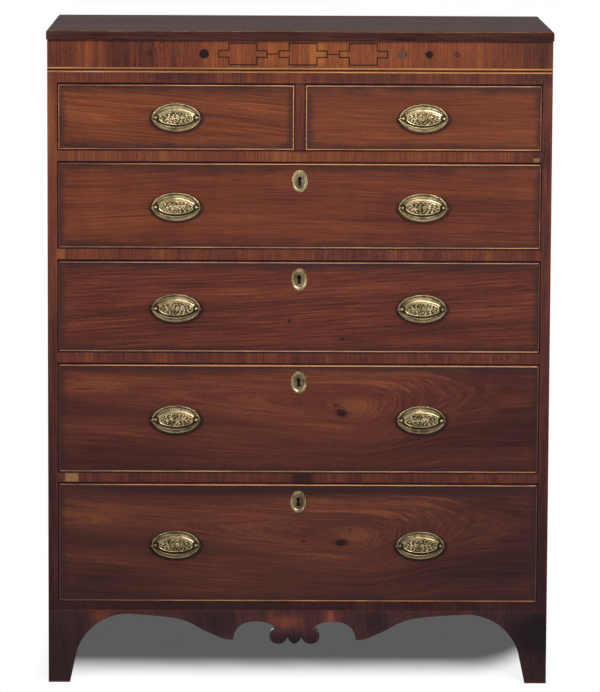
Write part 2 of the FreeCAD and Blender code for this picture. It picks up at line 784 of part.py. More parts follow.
class Drawer:
    """The wooden pieces of one drawer, worked out from its row and side."""

    def __init__(self, row, side):
        self.row = row
        self.side = side
        self.x0, self.x1 = drawer_spans(row, side)
        self.z0, self.z1 = front_levels(row)
        self.box_bottom = row_bottoms[row] + running_gap
        self.side_top = self.z1 - drawer_side_drop
        self.back_top = self.z1 - drawer_back_drop
        self.panel_bottom = self.box_bottom + drawer_bottom_lift
        self.panel_top = self.panel_bottom + drawer_bottom_thickness
        self.inner_x0 = self.x0 + drawer_side_thickness
        self.inner_x1 = self.x1 - drawer_side_thickness
        self.back_y0 = drawer_back_y - drawer_back_thickness
        self.tail_end = front_y + bead_rabbet + tail_clear_of_bead
        self.has_lock = row < short_row

    def front_tails(self, x0, x1):
        """Tails that run into the drawer front."""
        return tails(x0, x1, front_back_y, self.tail_end, self.panel_top, self.side_top)

    def back_tails(self, x0, x1):
        """Tails that run through the drawer back."""
        return tails(x0, x1, self.back_y0, drawer_back_y, self.panel_top, self.back_top)

    def bottom(self):
        """The bottom panel, in grooves of the front and sides and under the back."""
        return block(self.inner_x0 - groove_depth, self.inner_x1 + groove_depth,
                     front_back_y - front_groove_depth, drawer_back_y, self.panel_bottom, self.panel_top)

    def side_board(self, x0, x1):
        """A drawer side with its dovetails and the groove of the bottom."""
        board = block(x0, x1, front_back_y, self.back_y0, self.box_bottom, self.side_top)
        whole = fuse_all([board] + self.front_tails(x0, x1) + self.back_tails(x0, x1))
        return whole.cut(self.bottom())

    def back_board(self):
        """The drawer back, between the tails of the sides."""
        board = block(self.x0, self.x1, self.back_y0, drawer_back_y, self.panel_top, self.back_top)
        sockets = self.back_tails(self.x0, self.inner_x0) + self.back_tails(self.inner_x1, self.x1)
        return cut_all(board, sockets)

    def box(self):
        """Sides, back and bottom as separate solids."""
        pieces = [self.side_board(self.x0, self.inner_x0), self.side_board(self.inner_x1, self.x1),
                  self.back_board(), self.bottom()]
        return group(pieces)

    def front(self):
        """The drawer front with its rabbets, sockets and groove, bored for the brasses, cut for the lock."""
        inner = block(self.x0 + bead_width, self.x1 - bead_width, front_y, front_y + bead_rabbet,
                      self.z0 + bead_width, self.z1 - bead_width)
        board = block(self.x0, self.x1, front_y + bead_rabbet, front_back_y, self.z0, self.z1)
        board = fuse_all([inner, board])
        tools = self.front_tails(self.x0, self.inner_x0) + self.front_tails(self.inner_x1, self.x1)
        tools.append(self.bottom())
        for x, z in handle_centres(self.row, self.side):
            for post_x in (x - post_spacing / 2, x + post_spacing / 2):
                radius = post_neck_radius + post_hole_clearance
                tools.append(rod_y(radius, post_x, front_y, front_back_y, z))
        if self.has_lock:
            tools.append(keyhole(self.row, keyhole_wood_clearance, front_y, front_back_y))
            tools.append(lock_blank(self.row))
            tools.extend(escutcheon_pins(self.row))
        return cut_all(board, tools)

    def bead_blank(self, horizontal, low_edge):
        """A straight bead with a half-round nose, along one edge of the front."""
        radius = bead_width / 2
        nose_y = front_y - bead_proud + radius
        back = front_y + bead_rabbet
        if horizontal:
            z = self.z0 if low_edge else self.z1 - bead_width
            strip = block(self.x0, self.x1, nose_y, back, z, z + bead_width)
            nose = rod_x(radius, self.x0, self.x1, nose_y, z + radius)
        else:
            x = self.x0 if low_edge else self.x1 - bead_width
            strip = block(x, x + bead_width, nose_y, back, self.z0, self.z1)
            nose = rod_z(radius, x + radius, nose_y, self.z0, self.z1)
        return fuse_all([strip, nose])

    def beads(self):
        """Four cock beads, mitred at the corners of the front."""
        w = bead_width
        x0, x1, z0, z1 = self.x0, self.x1, self.z0, self.z1
        outer = [(x0, z0), (x1, z0), (x1, z1), (x0, z1)]
        inner = [(x0 + w, z0 + w), (x1 - w, z0 + w), (x1 - w, z1 - w), (x0 + w, z1 - w)]
        strips = []
        places = ((True, True), (False, False), (True, False), (False, True))
        for index, (horizontal, low_edge) in enumerate(places):
            following = (index + 1) % len(outer)
            outline = [outer[index], outer[following], inner[following], inner[index]]
            prism = front_prism(outline, front_y - bead_proud, front_y + bead_rabbet)
            strips.append(self.bead_blank(horizontal, low_edge).common(prism))
        return group([solid for strip in strips for solid in strip.Solids])


# ---- brasses ----

def plate(x, z):
    """An oval back plate with a raised rim and a raised boss, bored for its posts."""
    half_long, half_short = plate_length / 2, plate_height / 2
    face = front_y - plate_thickness
    base = oval_disc(x, face, front_y, z, half_long, half_short)
    rim = oval_disc(x, front_y - plate_rim_height, face, z, half_long, half_short)
    inner_long, inner_short = half_long - plate_rim_width, half_short - plate_rim_width
    hollow = oval_disc(x, front_y - plate_rim_height, face, z, inner_long, inner_short)
    boss = oval_dome(x, face - boss_rise, face, z, boss_length / 2, boss_height / 2, boss_slope)
    whole = fuse_all([base, rim.cut(hollow), boss])
    holes = []
    for post_x in (x - post_spacing / 2, x + post_spacing / 2):
        holes.append(rod_y(post_neck_radius, post_x, front_y - plate_rim_height, front_y, z))
        holes.append(rod_y(post_collar_radius, post_x, face - post_collar_height, face, z))
    return cut_all(whole, holes)


def post(x, z):
    """A post: a ball head cross-bored for the bail, a collar on the plate and a shank through the front."""
    face = front_y - plate_thickness
    ball = Part.makeSphere(post_head_radius, V(x, pivot_y, z))
    shank_end = front_back_y + nut_thickness + post_end
    shank = rod_y(post_neck_radius, x, pivot_y, shank_end, z)
    collar = rod_y(post_collar_radius, x, face - post_collar_height, face, z)
    bore = rod_x(pin_radius + pin_clearance, x - 2 * post_head_radius, x + 2 * post_head_radius, pivot_y, z)
    return fuse_all([ball, shank, collar]).cut(bore)


def nut(x, z):
    """A square nut on the inside of the drawer front."""
    half = nut_size / 2
    body = block(x - half, x + half, front_back_y, front_back_y + nut_thickness, z - half, z + half)
    return body.cut(rod_y(post_neck_radius, x, front_back_y, front_back_y + nut_thickness, z))


def make_brasses(row, side):
    """Plates, posts, nuts and the escutcheon of one drawer."""
    pieces = []
    for x, z in handle_centres(row, side):
        pieces.append(plate(x, z))
        for post_x in (x - post_spacing / 2, x + post_spacing / 2):
            pieces.extend([post(post_x, z), nut(post_x, z)])
    if row < short_row:
        pieces.extend(make_escutcheon(row))
    return group(pieces)


def make_bail(x, z):
    """A swelled crescent that hangs over the lower half of the plate, with pins turned in to the posts."""
    tip = bail_half_length
    inner_tip = tip - bail_tip_width
    y0 = pivot_y - bail_thickness / 2
    tip_rise = pin_radius
    right_tip = [V(tip, y0, tip_rise), V(inner_tip, y0, tip_rise), V(inner_tip, y0, -tip_rise)]
    left_tip = [V(-inner_tip, y0, -tip_rise), V(-inner_tip, y0, tip_rise), V(-tip, y0, tip_rise)]
    inner_arc = Part.Arc(right_tip[-1], V(0, y0, -bail_inner_drop), left_tip[0]).toShape()
    edges = [Part.Arc(left_tip[-1], V(0, y0, -bail_drop), right_tip[0]).toShape()]
    edges.extend([Part.LineSegment(a, b).toShape() for a, b in zip(right_tip[:-1], right_tip[1:])])
    edges.append(inner_arc)
    edges.extend([Part.LineSegment(a, b).toShape() for a, b in zip(left_tip[:-1], left_tip[1:])])
    body = Part.Face(Part.Wire(edges)).extrude(V(0, bail_thickness, 0))
    long_edges = [edge for edge in body.Edges if edge.Length > bail_half_length]
    body = body.makeFillet(bail_edge_radius, long_edges)
    pin_end = post_spacing / 2 - pin_stop_short
    body = fuse_all([body, rod_x(pin_radius, pin_end, inner_tip + pin_root, pivot_y, 0),
                     rod_x(pin_radius, -inner_tip - pin_root, -pin_end, pivot_y, 0)])
    body.translate(V(x, 0, z))
    return body


# ---- locks ----

def lock_top(row):
    """Upper edge of the drawer front, where the lock and its bolt come level."""
    return front_levels(row)[1]


def keyhole_height(row):
    """Middle of the keyhole and escutcheon."""
    return row_tops[row] - keyhole_drop


def bolt_depths():
    """Front and back of the bolt, set in from the lock's front face."""
    y0 = front_back_y - lock_depth + bolt_set_back
    return y0, y0 + bolt_thickness


def keyhole(row, clearance, y0, y1):
    """A round hole over a slot."""
    z = keyhole_height(row)
    radius = keyhole_radius + clearance
    round_z = z + keyhole_length / 2 - keyhole_radius
    half_slot = keyhole_slot_width / 2 + clearance
    hole = rod_y(radius, 0, y0, y1, round_z)
    slot = block(-half_slot, half_slot, y0, y1, z - keyhole_length / 2 - clearance, round_z)
    return fuse_all([hole, slot])


def lock_blank(row):
    """The outer form of a lock, let into the back of the drawer front."""
    z = lock_top(row)
    half = lock_width / 2
    return block(-half, half, front_back_y - lock_depth, front_back_y, z - lock_height, z)


def escutcheon_pins(row):
    """Two round pins that hold the escutcheon, above and below the keyhole."""
    z = keyhole_height(row)
    offset = escutcheon_height / 2 * (1 + escutcheon_field_scale) / 2
    reach = front_back_y - lock_depth - escutcheon_pin_clearance
    y0 = front_y - escutcheon_rise
    return [rod_y(escutcheon_pin_radius, 0, y0, reach, z + side * offset) for side in (-1, 1)]


def make_escutcheon(row):
    """An oval plate with a raised field around the keyhole."""
    z = keyhole_height(row)
    face = front_y - plate_thickness
    half_long, half_short = escutcheon_height / 2, escutcheon_width / 2
    base = oval_disc(0, face, front_y, z, half_long, half_short, True)
    rim = oval_disc(0, front_y - escutcheon_rise, face, z, half_long, half_short, True)
    hollow = oval_disc(0, front_y - escutcheon_rise, face, z,
                       half_long - plate_rim_width, half_short - plate_rim_width, True)
    field = oval_disc(0, front_y - escutcheon_rise, face, z,
                      half_long * escutcheon_field_scale, half_short * escutcheon_field_scale, True)
    whole = fuse_all([base, rim.cut(hollow), field])
    pins = escutcheon_pins(row)
    whole = cut_all(whole, [keyhole(row, 0, front_y - 2 * escutcheon_rise, front_y)] + pins)
    return [whole] + pins


def make_bolt(row):
    """The sliding bolt, drawn back level with the top of the lock."""
    z = lock_top(row)
    y0, y1 = bolt_depths()
    return block(-bolt_width / 2, bolt_width / 2, y0, y1, z - bolt_height, z)


def make_lock(row):
    """Lock case with the bolt's way, the key's chamber and its pin."""
    z = lock_top(row)
    y0, y1 = bolt_depths()
    gap = bolt_clearance
    way = block(-bolt_width / 2 - gap, bolt_width / 2 + gap, y0 - gap, y1 + gap, z - bolt_height - gap, z)
    key_z = keyhole_height(row) + keyhole_length / 2 - keyhole_radius
    lock_front = front_back_y - lock_depth
    chamber = rod_y(key_chamber_radius, 0, lock_front, y1, key_z)
    pin = rod_y(key_pin_radius, 0, lock_front, y1, key_z)
    case = cut_all(lock_blank(row), [way, chamber])
    return fuse_all([case, pin])


# ---- all nodes ----

def main():
    """Write every node of the chest."""
    os.makedirs("parts", exist_ok=True)
    side_right = make_side_right()
    apron_right = make_side_apron_right()
    save("top_board", make_top_board())
    save("side_right", side_right)
    save("side_left", mirrored(side_right))
    save("back_boards", make_back_boards())
    save("bottom_board", make_bottom_board())
    save("case_rails", make_case_rails())
    save("frieze_veneer", make_frieze_veneer())
    save("frieze_inlay", make_frieze_inlay())
    save("stringing", make_stringing())
    save("face_veneers", make_face_veneers())
    save("centre_stile", make_centre_stile())
    save("dust_frames", make_dust_frames())
    save("guides_and_stops", make_guides_and_stops())
    save("apron_front", make_apron_front())
    save("side_aprons", group([apron_right, mirrored(apron_right)]))
    save("rear_feet", make_rear_feet())
    save("base_blocks", make_base_blocks())
    save("fasteners", group(back_nails() + top_screws()))
    drawers = [("drawer_%d" % (row + 1), row, 0) for row in range(short_row)]
    drawers.extend([("short_drawer_left", short_row, -1), ("short_drawer_right", short_row, 1)])
    for name, row, side in drawers:
        drawer = Drawer(row, side)
        save(name + "_front", drawer.front())
        save(name + "_box", drawer.box())
        save(name + "_beads", drawer.beads())
        save(name + "_brasses", make_brasses(row, side))
        centres = handle_centres(row, side)
        for x, z in centres:
            hand = "_left" if x < 0 else "_right"
            bail_name = name + "_bail" + (hand if len(centres) > 1 else "")
            save(bail_name, make_bail(x, z))
        if drawer.has_lock:
            save(name + "_lock", make_lock(row))
            save(name + "_lock_bolt", make_bolt(row))


main()
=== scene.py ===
import logging
import math
from dataclasses import dataclass, field, replace
from enum import Enum

import bpy
import numpy as np
from mathutils import Matrix, Vector


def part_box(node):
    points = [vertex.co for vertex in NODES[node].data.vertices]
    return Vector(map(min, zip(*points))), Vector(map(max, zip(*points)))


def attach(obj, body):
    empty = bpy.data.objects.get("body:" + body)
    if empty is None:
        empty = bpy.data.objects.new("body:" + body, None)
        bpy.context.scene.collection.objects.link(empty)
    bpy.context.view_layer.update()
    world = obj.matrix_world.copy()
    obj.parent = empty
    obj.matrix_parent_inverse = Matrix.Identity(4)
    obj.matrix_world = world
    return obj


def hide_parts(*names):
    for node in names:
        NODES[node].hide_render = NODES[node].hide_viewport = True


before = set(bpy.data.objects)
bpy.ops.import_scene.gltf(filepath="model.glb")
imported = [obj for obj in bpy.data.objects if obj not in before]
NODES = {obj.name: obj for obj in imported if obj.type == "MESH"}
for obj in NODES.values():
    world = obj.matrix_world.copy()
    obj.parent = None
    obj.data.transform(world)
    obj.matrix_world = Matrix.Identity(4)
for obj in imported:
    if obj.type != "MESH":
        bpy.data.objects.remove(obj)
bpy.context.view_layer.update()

LOG = logging.getLogger("tall_chest")
MM = 0.001
FRONT_Y = -0.2546
TONE_STOPS = (0.12, 0.4, 0.62, 0.92)
GOLDEN_ANGLE = 2.39996
# a near-black tone for torn fibres in the wood, also used for the painted shade in keyholes
KNOT_AND_SHADE_TONE = "170f10"
NEW_WOOD = "8a6543"

Form = tuple[np.ndarray, list[np.ndarray]]


# ---------------------------------------------------------------- shader toolkit

def linear(tone: str) -> tuple[float, float, float, float]:
    """Turn a hex colour into linear light.

    Args:
        tone: six hex digits.

    Returns:
        Red, green, blue and a full alpha, each from 0 to 1.
    """
    parts = np.array([int(tone[i:i + 2], 16) for i in (0, 2, 4)]) / 255
    light = np.where(parts <= 0.04045, parts / 12.92, ((parts + 0.055) / 1.055) ** 2.4)
    return (*(float(value) for value in light), 1.0)


class Signal:
    """A number or colour that varies over a surface: a socket on which arithmetic adds Math nodes."""

    def __init__(self, graph: "Graph", socket: bpy.types.NodeSocket) -> None:
        """Wrap a socket of a graph."""
        self.graph, self.socket = graph, socket

    def __add__(self, other: "Signal | float") -> "Signal":
        """Sum."""
        return self.graph.maths("ADD", self, other)

    __radd__ = __add__

    def __sub__(self, other: "Signal | float") -> "Signal":
        """Difference."""
        return self.graph.maths("SUBTRACT", self, other)

    def __rsub__(self, other: float) -> "Signal":
        """Difference with the number first."""
        return self.graph.maths("SUBTRACT", other, self)

    def __mul__(self, other: "Signal | float") -> "Signal":
        """Product."""
        return self.graph.maths("MULTIPLY", self, other)

    __rmul__ = __mul__

    def __truediv__(self, other: float) -> "Signal":
        """Quotient."""
        return self * (1 / other)

    def __neg__(self) -> "Signal":
        """Opposite."""
        return self * -1.0

    def __abs__(self) -> "Signal":
        """Size without sign."""
        return self.graph.maths("ABSOLUTE", self)

    def root(self) -> "Signal":
        """Square root."""
        return self.graph.maths("POWER", self, 0.5)

    def least(self, other: "Signal | float") -> "Signal":
        """The smaller of two."""
        return self.graph.maths("MINIMUM", self, other)

    def most(self, other: "Signal | float") -> "Signal":
        """The larger of two."""
        return self.graph.maths("MAXIMUM", self, other)

    def bell(self) -> "Signal":
        """exp(-value), a bell once the value is a squared distance."""
        return self.graph.maths("EXPONENT", -self)

    def step(self, low: float, high: float) -> "Signal":
        """Rise smoothly from 0 to 1.

        Args:
            low: where it is 0.
            high: where it is 1; it may be the smaller.

        Returns:
            The share.
        """
        if low > high:
            return 1.0 - self.step(high, low)
        return self.graph.node("ShaderNodeMapRange", {"interpolation_type": "SMOOTHSTEP"},
                               {"Value": self, "From Min": low, "From Max": high})


class Graph:
    """The node tree of one material or world."""

    def __init__(self, holder: bpy.types.Material | bpy.types.World) -> None:
        """Start an empty tree in its holder."""
        holder.use_nodes = True
        self.holder, self.tree = holder, holder.node_tree
        self.tree.nodes.clear()

    def node(self, kind: str, settings: dict | None = None, inputs: dict | None = None,
             output: int | str = 0) -> Signal | None:
        """Add one node.

        Args:
            kind: the node's type.
            settings: its properties, set first; a ramp's stops go under "stops".
            inputs: a value or a Signal for each socket, by name or number.
            output: which of its outputs is wanted.

        Returns:
            The wanted output, or nothing from a node that has none.
        """
        made = self.tree.nodes.new(kind)
        for key, value in (settings or {}).items():
            if key == "stops":
                self._stops(made.color_ramp, value)
            else:
                setattr(made, key, value)
        for key, value in (inputs or {}).items():
            if isinstance(value, Signal):
                self.tree.links.new(value.socket, made.inputs[key])
            else:
                made.inputs[key].default_value = value
        return Signal(self, made.outputs[output]) if made.outputs else None

    @staticmethod
    def _stops(ramp: bpy.types.ColorRamp, stops: list[tuple[float, str]]) -> None:
        """Give a ramp its stops.

        Args:
            ramp: the ramp of a new node, which has two stops.
            stops: place and hex colour of each, lowest first.
        """
        for _ in range(len(stops) - 2):
            ramp.elements.new(0.5)
        for element, (place, tone) in zip(ramp.elements, stops):
            element.position, element.color = place, linear(tone)

    def maths(self, operation: str, first: Signal | float, second: Signal | float = 0.0) -> Signal:
        """Add one Math node on one or two values."""
        return self.node("ShaderNodeMath", {"operation": operation}, {0: first, 1: second})

    def ramp(self, value: Signal, places: tuple[float, ...], tones: tuple[str, ...]) -> Signal:
        """Colour a value by hex tones at rising places."""
        return self.node("ShaderNodeValToRGB", {"stops": list(zip(places, tones))}, {0: value})

    def place(self) -> tuple[Signal, ...]:
        """The point on the object in metres, as x, y and z."""
        split = self.node("ShaderNodeSeparateXYZ", None, {0: self.node("ShaderNodeTexCoord", output="Object")})
        return tuple(Signal(self, socket) for socket in split.socket.node.outputs)

    def noise(self, x: Signal | float, y: Signal | float, z: Signal | float, detail: float = 2.0,
              rough: float = 0.5) -> Signal:
        """Cloud noise about 0.5.

        Args:
            x: first coordinate, one unit to a cloud.
            y: second coordinate.
            z: third coordinate.
            detail: how many finer layers.
            rough: how strong those are.

        Returns:
            The noise, mostly from 0.3 to 0.7.
        """
        where = self.node("ShaderNodeCombineXYZ", None, {0: x, 1: y, 2: z})
        return self.node("ShaderNodeTexNoise", {"noise_dimensions": "3D"},
                         {"Vector": where, "Scale": 1.0, "Detail": detail, "Roughness": rough})

    def mix(self, share: Signal | float, first: Signal | str, second: Signal | str,
            blend: str = "MIX") -> Signal:
        """Lay one colour over another.

        Args:
            share: how much of the second shows.
            first: the colour below, as a Signal or a hex tone.
            second: the colour above.
            blend: how they meet.

        Returns:
            The mixed colour.
        """
        inputs = {0: share}
        for index, colour in ((6, first), (7, second)):
            inputs[index] = linear(colour) if isinstance(colour, str) else colour
        return self.node("ShaderNodeMix", {"data_type": "RGBA", "blend_type": blend}, inputs, 2)

    def bump(self, height: Signal, depth: float, **more: Signal) -> Signal:
        """A normal from a height in 0 to 1 that stands for depth metres, over another Normal if one is given."""
        return self.node("ShaderNodeBump", None, {"Height": height, "Distance": depth, "Strength": 1.0, **more})

    def facing(self, direction: Signal | tuple[float, float, float]) -> Signal:
        """How squarely the surface faces a direction: 1 straight at it, 0 from the side."""
        normal = self.node("ShaderNodeNewGeometry", output="Normal")
        return self.node("ShaderNodeVectorMath", {"operation": "DOT_PRODUCT"}, {0: normal, 1: direction}, 1)

    def finish(self, colour: Signal, **sockets: Signal | float) -> bpy.types.Material:
        """Close the tree with one shader.

        Args:
            colour: the base colour.
            sockets: a Signal or a plain value by socket name, with _ for a space.

        Returns:
            The finished material.
        """
        inputs = {key.replace("_", " "): value for key, value in sockets.items()}
        self.close(self.node("ShaderNodeBsdfPrincipled", None, {"Base Color": colour, **inputs}))
        return self.holder

    def close(self, shader: Signal, kind: str = "ShaderNodeOutputMaterial") -> None:
        """Join a shader to the tree's output."""
        self.node(kind, None, {"Surface": shader})


# ---------------------------------------------------------------- wood

class Cut(Enum):
    """How a board lies: which axes run along the grain, across it and into the wood."""

    FRONT_LENGTHWISE = (0, 2, 1)
    FRONT_UPRIGHT = (2, 0, 1)
    SIDE_UPRIGHT = (2, 1, 0)
    SIDE_LENGTHWISE = (1, 2, 0)
    TOP_LENGTHWISE = (0, 1, 2)


@dataclass
class Board:
    """The coordinates of a board in metres: along the grain, across it, into the wood, and the bent grain."""

    graph: Graph
    along: Signal
    across: Signal
    into: Signal
    ring: Signal | None = None


@dataclass(frozen=True)
class Spot:
    """A bell-shaped place on a board, in metres: its centre, its reach each way and its strength."""

    along: float
    across: float
    reach_along: float
    reach_across: float
    strength: float

    def distance(self, board: Board) -> Signal:
        """The distance from the centre in reaches, squared: (u/reach)^2 + (v/reach)^2."""
        u, v = (board.along - self.along) / self.reach_along, (board.across - self.across) / self.reach_across
        return u * u + v * v

    def on(self, board: Board) -> Signal:
        """strength * exp(-distance)."""
        return self.distance(board).bell() * self.strength


@dataclass(frozen=True)
class Rim(Spot):
    """An oval place like a Spot, but even inside and with an edge that fades over a share of its reach."""

    soft: float = 0.25

    def on(self, board: Board) -> Signal:
        """The strength where the distance is under 1, fading to 0 beyond it."""
        return self.distance(board).step(1.0 + self.soft, 1.0 - self.soft) * self.strength


@dataclass(frozen=True)
class Panel:
    """A rectangle on a board, in metres, with edges that fade over a width, and its strength."""

    along: tuple[float, float]
    across: tuple[float, float]
    fade: float
    strength: float

    def on(self, board: Board) -> Signal:
        """The strength inside, 0 outside."""
        inside = (board.along - self.along[0]).least(self.along[1] - board.along)
        inside = inside.least(board.across - self.across[0]).least(self.across[1] - board.across)
        return inside.step(-self.fade, self.fade) * self.strength


@dataclass(frozen=True)
class Eye:
    """The long oval that shows where a board is cut close to the middle of the tree, in metres."""

    along: float
    across: float
    climb: float = 0.026
    half: float = 0.078
    reach_left: float = 0.23
    reach_right: float = 0.165
    left_slope: float = 0.06
    left_share: float = 0.12
    fade: float = 0.1

    def on(self, board: Board) -> tuple[Signal, Signal]:
        """Distance from the middle of the tree.

        Args:
            board: the board it is cut in.

        Returns:
            sqrt(v^2 + g^2), where v is the distance from an axis that climbs to both sides and g, the depth of
            the tree's middle under the face, grows to half at the right end as sqrt(1 - exp(-(u/reach)^2)), to
            a share of that at the left, and counts less and less away from the axis; and v.
        """
        u = board.along - self.along
        left, right = (-u).most(0.0), u.most(0.0)
        v = board.across - self.across - u.step(0.02, 0.22) * self.climb - left * self.left_slope
        stretch = right / self.reach_right + left / self.reach_left
        share = u.step(-0.14, 0.02) * (1.0 - self.left_share) + self.left_share
        depth = (1.0 - (stretch * stretch).bell()) * share * self.half ** 2
        return (v * v + depth * (v * v / self.fade ** 2).bell()).root(), v

    def halo(self, board: Board) -> Signal:
        """Light wood round the tree's middle.

        Args:
            board: the board, whose coordinate into the wood is the distance above the eye's axis.

        Returns:
            A ring 50 mm out that shows most at the upper right and the lower left, and a fainter patch inside it.
        """
        u = board.along - self.along
        outer, inner = (board.ring - 0.05) / 0.0065, (board.ring - 0.015) / 0.012
        span, heart = (u - board.into * 0.9) / 0.1, (u - 0.02) / 0.05
        return (outer * outer + span * span).bell() + (inner * inner + heart * heart).bell() * 0.5

    def calm(self, board: Board) -> Signal:
        """How much of the fine lines shows: less near the tree's middle, least to the left of the eye."""
        heart = (board.ring * board.ring / 0.055 ** 2).bell() * (board.along - self.along).step(0.12, 0.02)
        return 0.72 - heart * 0.32


@dataclass(frozen=True)
class Layer:
    """One layer of noise in wood: clouds per metre along, across and into it, its finer layers, and their strength.

    The timber's seed shifts it along the board, or else across.
    """

    along: float
    across: float
    into: float
    detail: float
    rough: float
    shift_along: bool = False

    def on(self, board: Board, across: Signal, shift: float) -> Signal:
        """The layer's noise.

        Args:
            board: the board it is seen on.
            across: the coordinate it takes for across, straight or bent.
            shift: how far the seed moves it.

        Returns:
            Noise about 0.5.
        """
        where = [board.along * self.along, across * self.across]
        axis = 0 if self.shift_along else 1
        where[axis] = where[axis] + shift
        return board.graph.noise(*where, board.into * self.into, self.detail, self.rough)


FIBRE = Layer(11.0, 520.0, 50.0, 3.0, 0.7, True)
PORE = Layer(70.0, 2400.0, 300.0, 1.0, 0.5)
GRIT = Layer(170.0, 420.0, 100.0, 2.0, 0.6)
CROSS = Layer(26.0, 9.0, 10.0, 2.0, 0.5)
FLECK = Layer(140.0, 420.0, 80.0, 3.0, 0.65)
CLOUD = Layer(14.0, 11.0, 10.0, 2.0, 0.6, True)


@dataclass(frozen=True)
class Timber:
    """Polished wood: bands, streaks, fibres and pores that follow a grain which bends round its figure."""

    name: str
    cut: Cut
    tones: tuple[str, str, str, str]
    seed: float = 0.0
    band: float = 24.0
    streak: float = 230.0
    contrast: float = 1.0
    slope: float = 0.0
    wander: float = 0.03
    eye: Eye | None = None
    glow: float = 0.24
    knots_and_keyhole_shade: tuple[Spot, ...] = ()
    patches: tuple[Spot | Panel, ...] = ()
    mends: tuple[Panel, ...] = ()
    field: tuple[float, float, float, float] | None = None
    edge_dark_tone: str = "2a1d1e"
    edge_dark_share: float = 0.75
    edge_tone: str = "8a5a3c"
    edge_share: float = 0.35
    edge_radius: float = 0.0009
    rubbed_above: float | None = None
    roughness: float = 0.4
    gloss: float = 0.08
    mottle: float = 0.0
    speckle: float = 0.0
    grit: float = 0.4
    painted_falloff: float = 0.0
    painted_falloff_from: float = 0.75
    crest_highlight: float = 0.0

    def board(self, graph: Graph) -> Board:
        """Lay out the coordinates, with the grain bent.

        The bent coordinate's level lines are the rings of the tree, which close into ovals round an eye.

        Args:
            graph: the finish it is drawn in.

        Returns:
            The board; with an eye, its coordinate into the wood is the distance above the eye's axis.
        """
        point = graph.place()
        board = Board(graph, *(point[axis] for axis in self.cut.value))
        drift = graph.noise(board.along * 2.0, board.across * 3.0 + self.seed, board.into * 2.0, 1.0)
        if self.eye:
            distance, aside = self.eye.on(board)
            board.ring, board.into = distance + (board.into - FRONT_Y) * 0.4, aside
        else:
            board.ring = board.across + board.into * 0.4
        board.ring = board.ring + board.along * self.slope + (drift - 0.5) * self.wander
        return board

    def figure(self, board: Board) -> Signal:
        """Tone of the wood.

        Args:
            board: the board it is drawn on.

        Returns:
            Tone about 0.5, from dark to light.
        """
        across, ring, shift = board.across, board.ring, self.seed * 7.3
        broad = Layer(1.4, self.band, 3.0, 2.0, 0.55, True).on(board, ring, shift)
        streak = Layer(3.0, self.streak, 20.0, 3.0, 0.6).on(board, ring, shift)
        lines = (streak - 0.5) * 0.8 + (FIBRE.on(board, ring, shift) - 0.5) * 1.6
        tone = (broad - 0.5) * (1.0 if self.eye else 0.8)
        if self.eye:
            tone = tone + lines * self.eye.calm(board) + self.eye.halo(board) * self.glow
        else:
            tone = tone + lines
        tone = tone + (GRIT.on(board, across, shift) - 0.5) * self.grit
        if self.mottle:
            tone = tone + (CROSS.on(board, across, shift) - 0.5) * self.mottle
        if self.speckle:
            fleck, cloud = FLECK.on(board, across, shift), CLOUD.on(board, across, shift)
            tone = tone - fleck.step(0.5, 0.72) * cloud.step(0.42, 0.62) * self.speckle
        tone = tone * self.contrast + 0.5
        # painted falloff: the wood darker lower down, as the light falls off
        if self.painted_falloff:
            tone = tone + (board.graph.place()[2] - self.painted_falloff_from) * self.painted_falloff
        marks = [patch.on(board) for patch in self.patches]
        if marks:
            tone = tone + sum(marks[1:], marks[0]) * self._outside(board.graph)
        # painted highlight: lighter where the surface faces straight forward, on the rounded nose of a bead, with
        # its worn polish
        if self.crest_highlight:
            tone = tone + (board.graph.facing((0, -1, 0)).step(0.72, 0.99) - 0.6) * self.crest_highlight
        return tone

    def _outside(self, graph: Graph) -> Signal | float:
        """1 on the outer face of a board that has a field, and 0 behind it; 1 all over on other boards."""
        return graph.place()[1].step(FRONT_Y + 0.004, FRONT_Y + 0.002) if self.field else 1.0

    def material(self) -> bpy.types.Material:
        """Build the finish.

        Returns:
            The material.
        """
        graph = Graph(bpy.data.materials.new(self.name))
        board = self.board(graph)
        tone = self.figure(board)
        pores = PORE.on(board, board.ring, self.seed * 7.3).step(0.62, 0.72)
        colour = graph.mix(pores * 0.35, graph.ramp(tone, TONE_STOPS, self.tones), self.tones[0], "MULTIPLY")
        # dark marks in the figure, and the painted shade in a keyhole
        for dark_spot in self.knots_and_keyhole_shade:
            colour = graph.mix(dark_spot.on(board).least(0.92), colour, KNOT_AND_SHADE_TONE)
        for mend in self.mends:
            colour = graph.mix(mend.on(board), colour, NEW_WOOD)
        # darker along the edges of the field
        if self.field:
            colour = graph.mix(self._edge_darkening(board), colour, self.edge_dark_tone)
        rounded = graph.node("ShaderNodeBevel", {"samples": 4}, {"Radius": self.edge_radius})
        rubbed = graph.noise(board.along * 60.0, board.across * 60.0, self.seed).step(0.36, 0.6)
        worn = (1.0 - graph.facing(rounded)).step(0.01, 0.25) * rubbed
        colour = graph.mix(worn * self.edge_share, colour, self.edge_tone)
        if self.rubbed_above:
            x, y, z = graph.place()
            dotted = graph.noise(x * 45.0, y * 45.0, 0.5, 3.0, 0.6).step(0.36, 0.6) * 0.6 + 0.25
            upright = graph.facing((0, 0, 1)).step(0.95, 0.6)
            rim = z.step(self.rubbed_above, self.rubbed_above + 0.0008) * upright
            colour = graph.mix(rim * dotted, colour, self.edge_tone)
        return graph.finish(
            colour, Roughness=(tone * -0.08 + self.roughness + 0.04) + pores * 0.1,
            Normal=graph.bump(pores * -1.0 + tone * 0.25, 0.00006, Normal=rounded),
            Specular_IOR_Level=self.gloss)

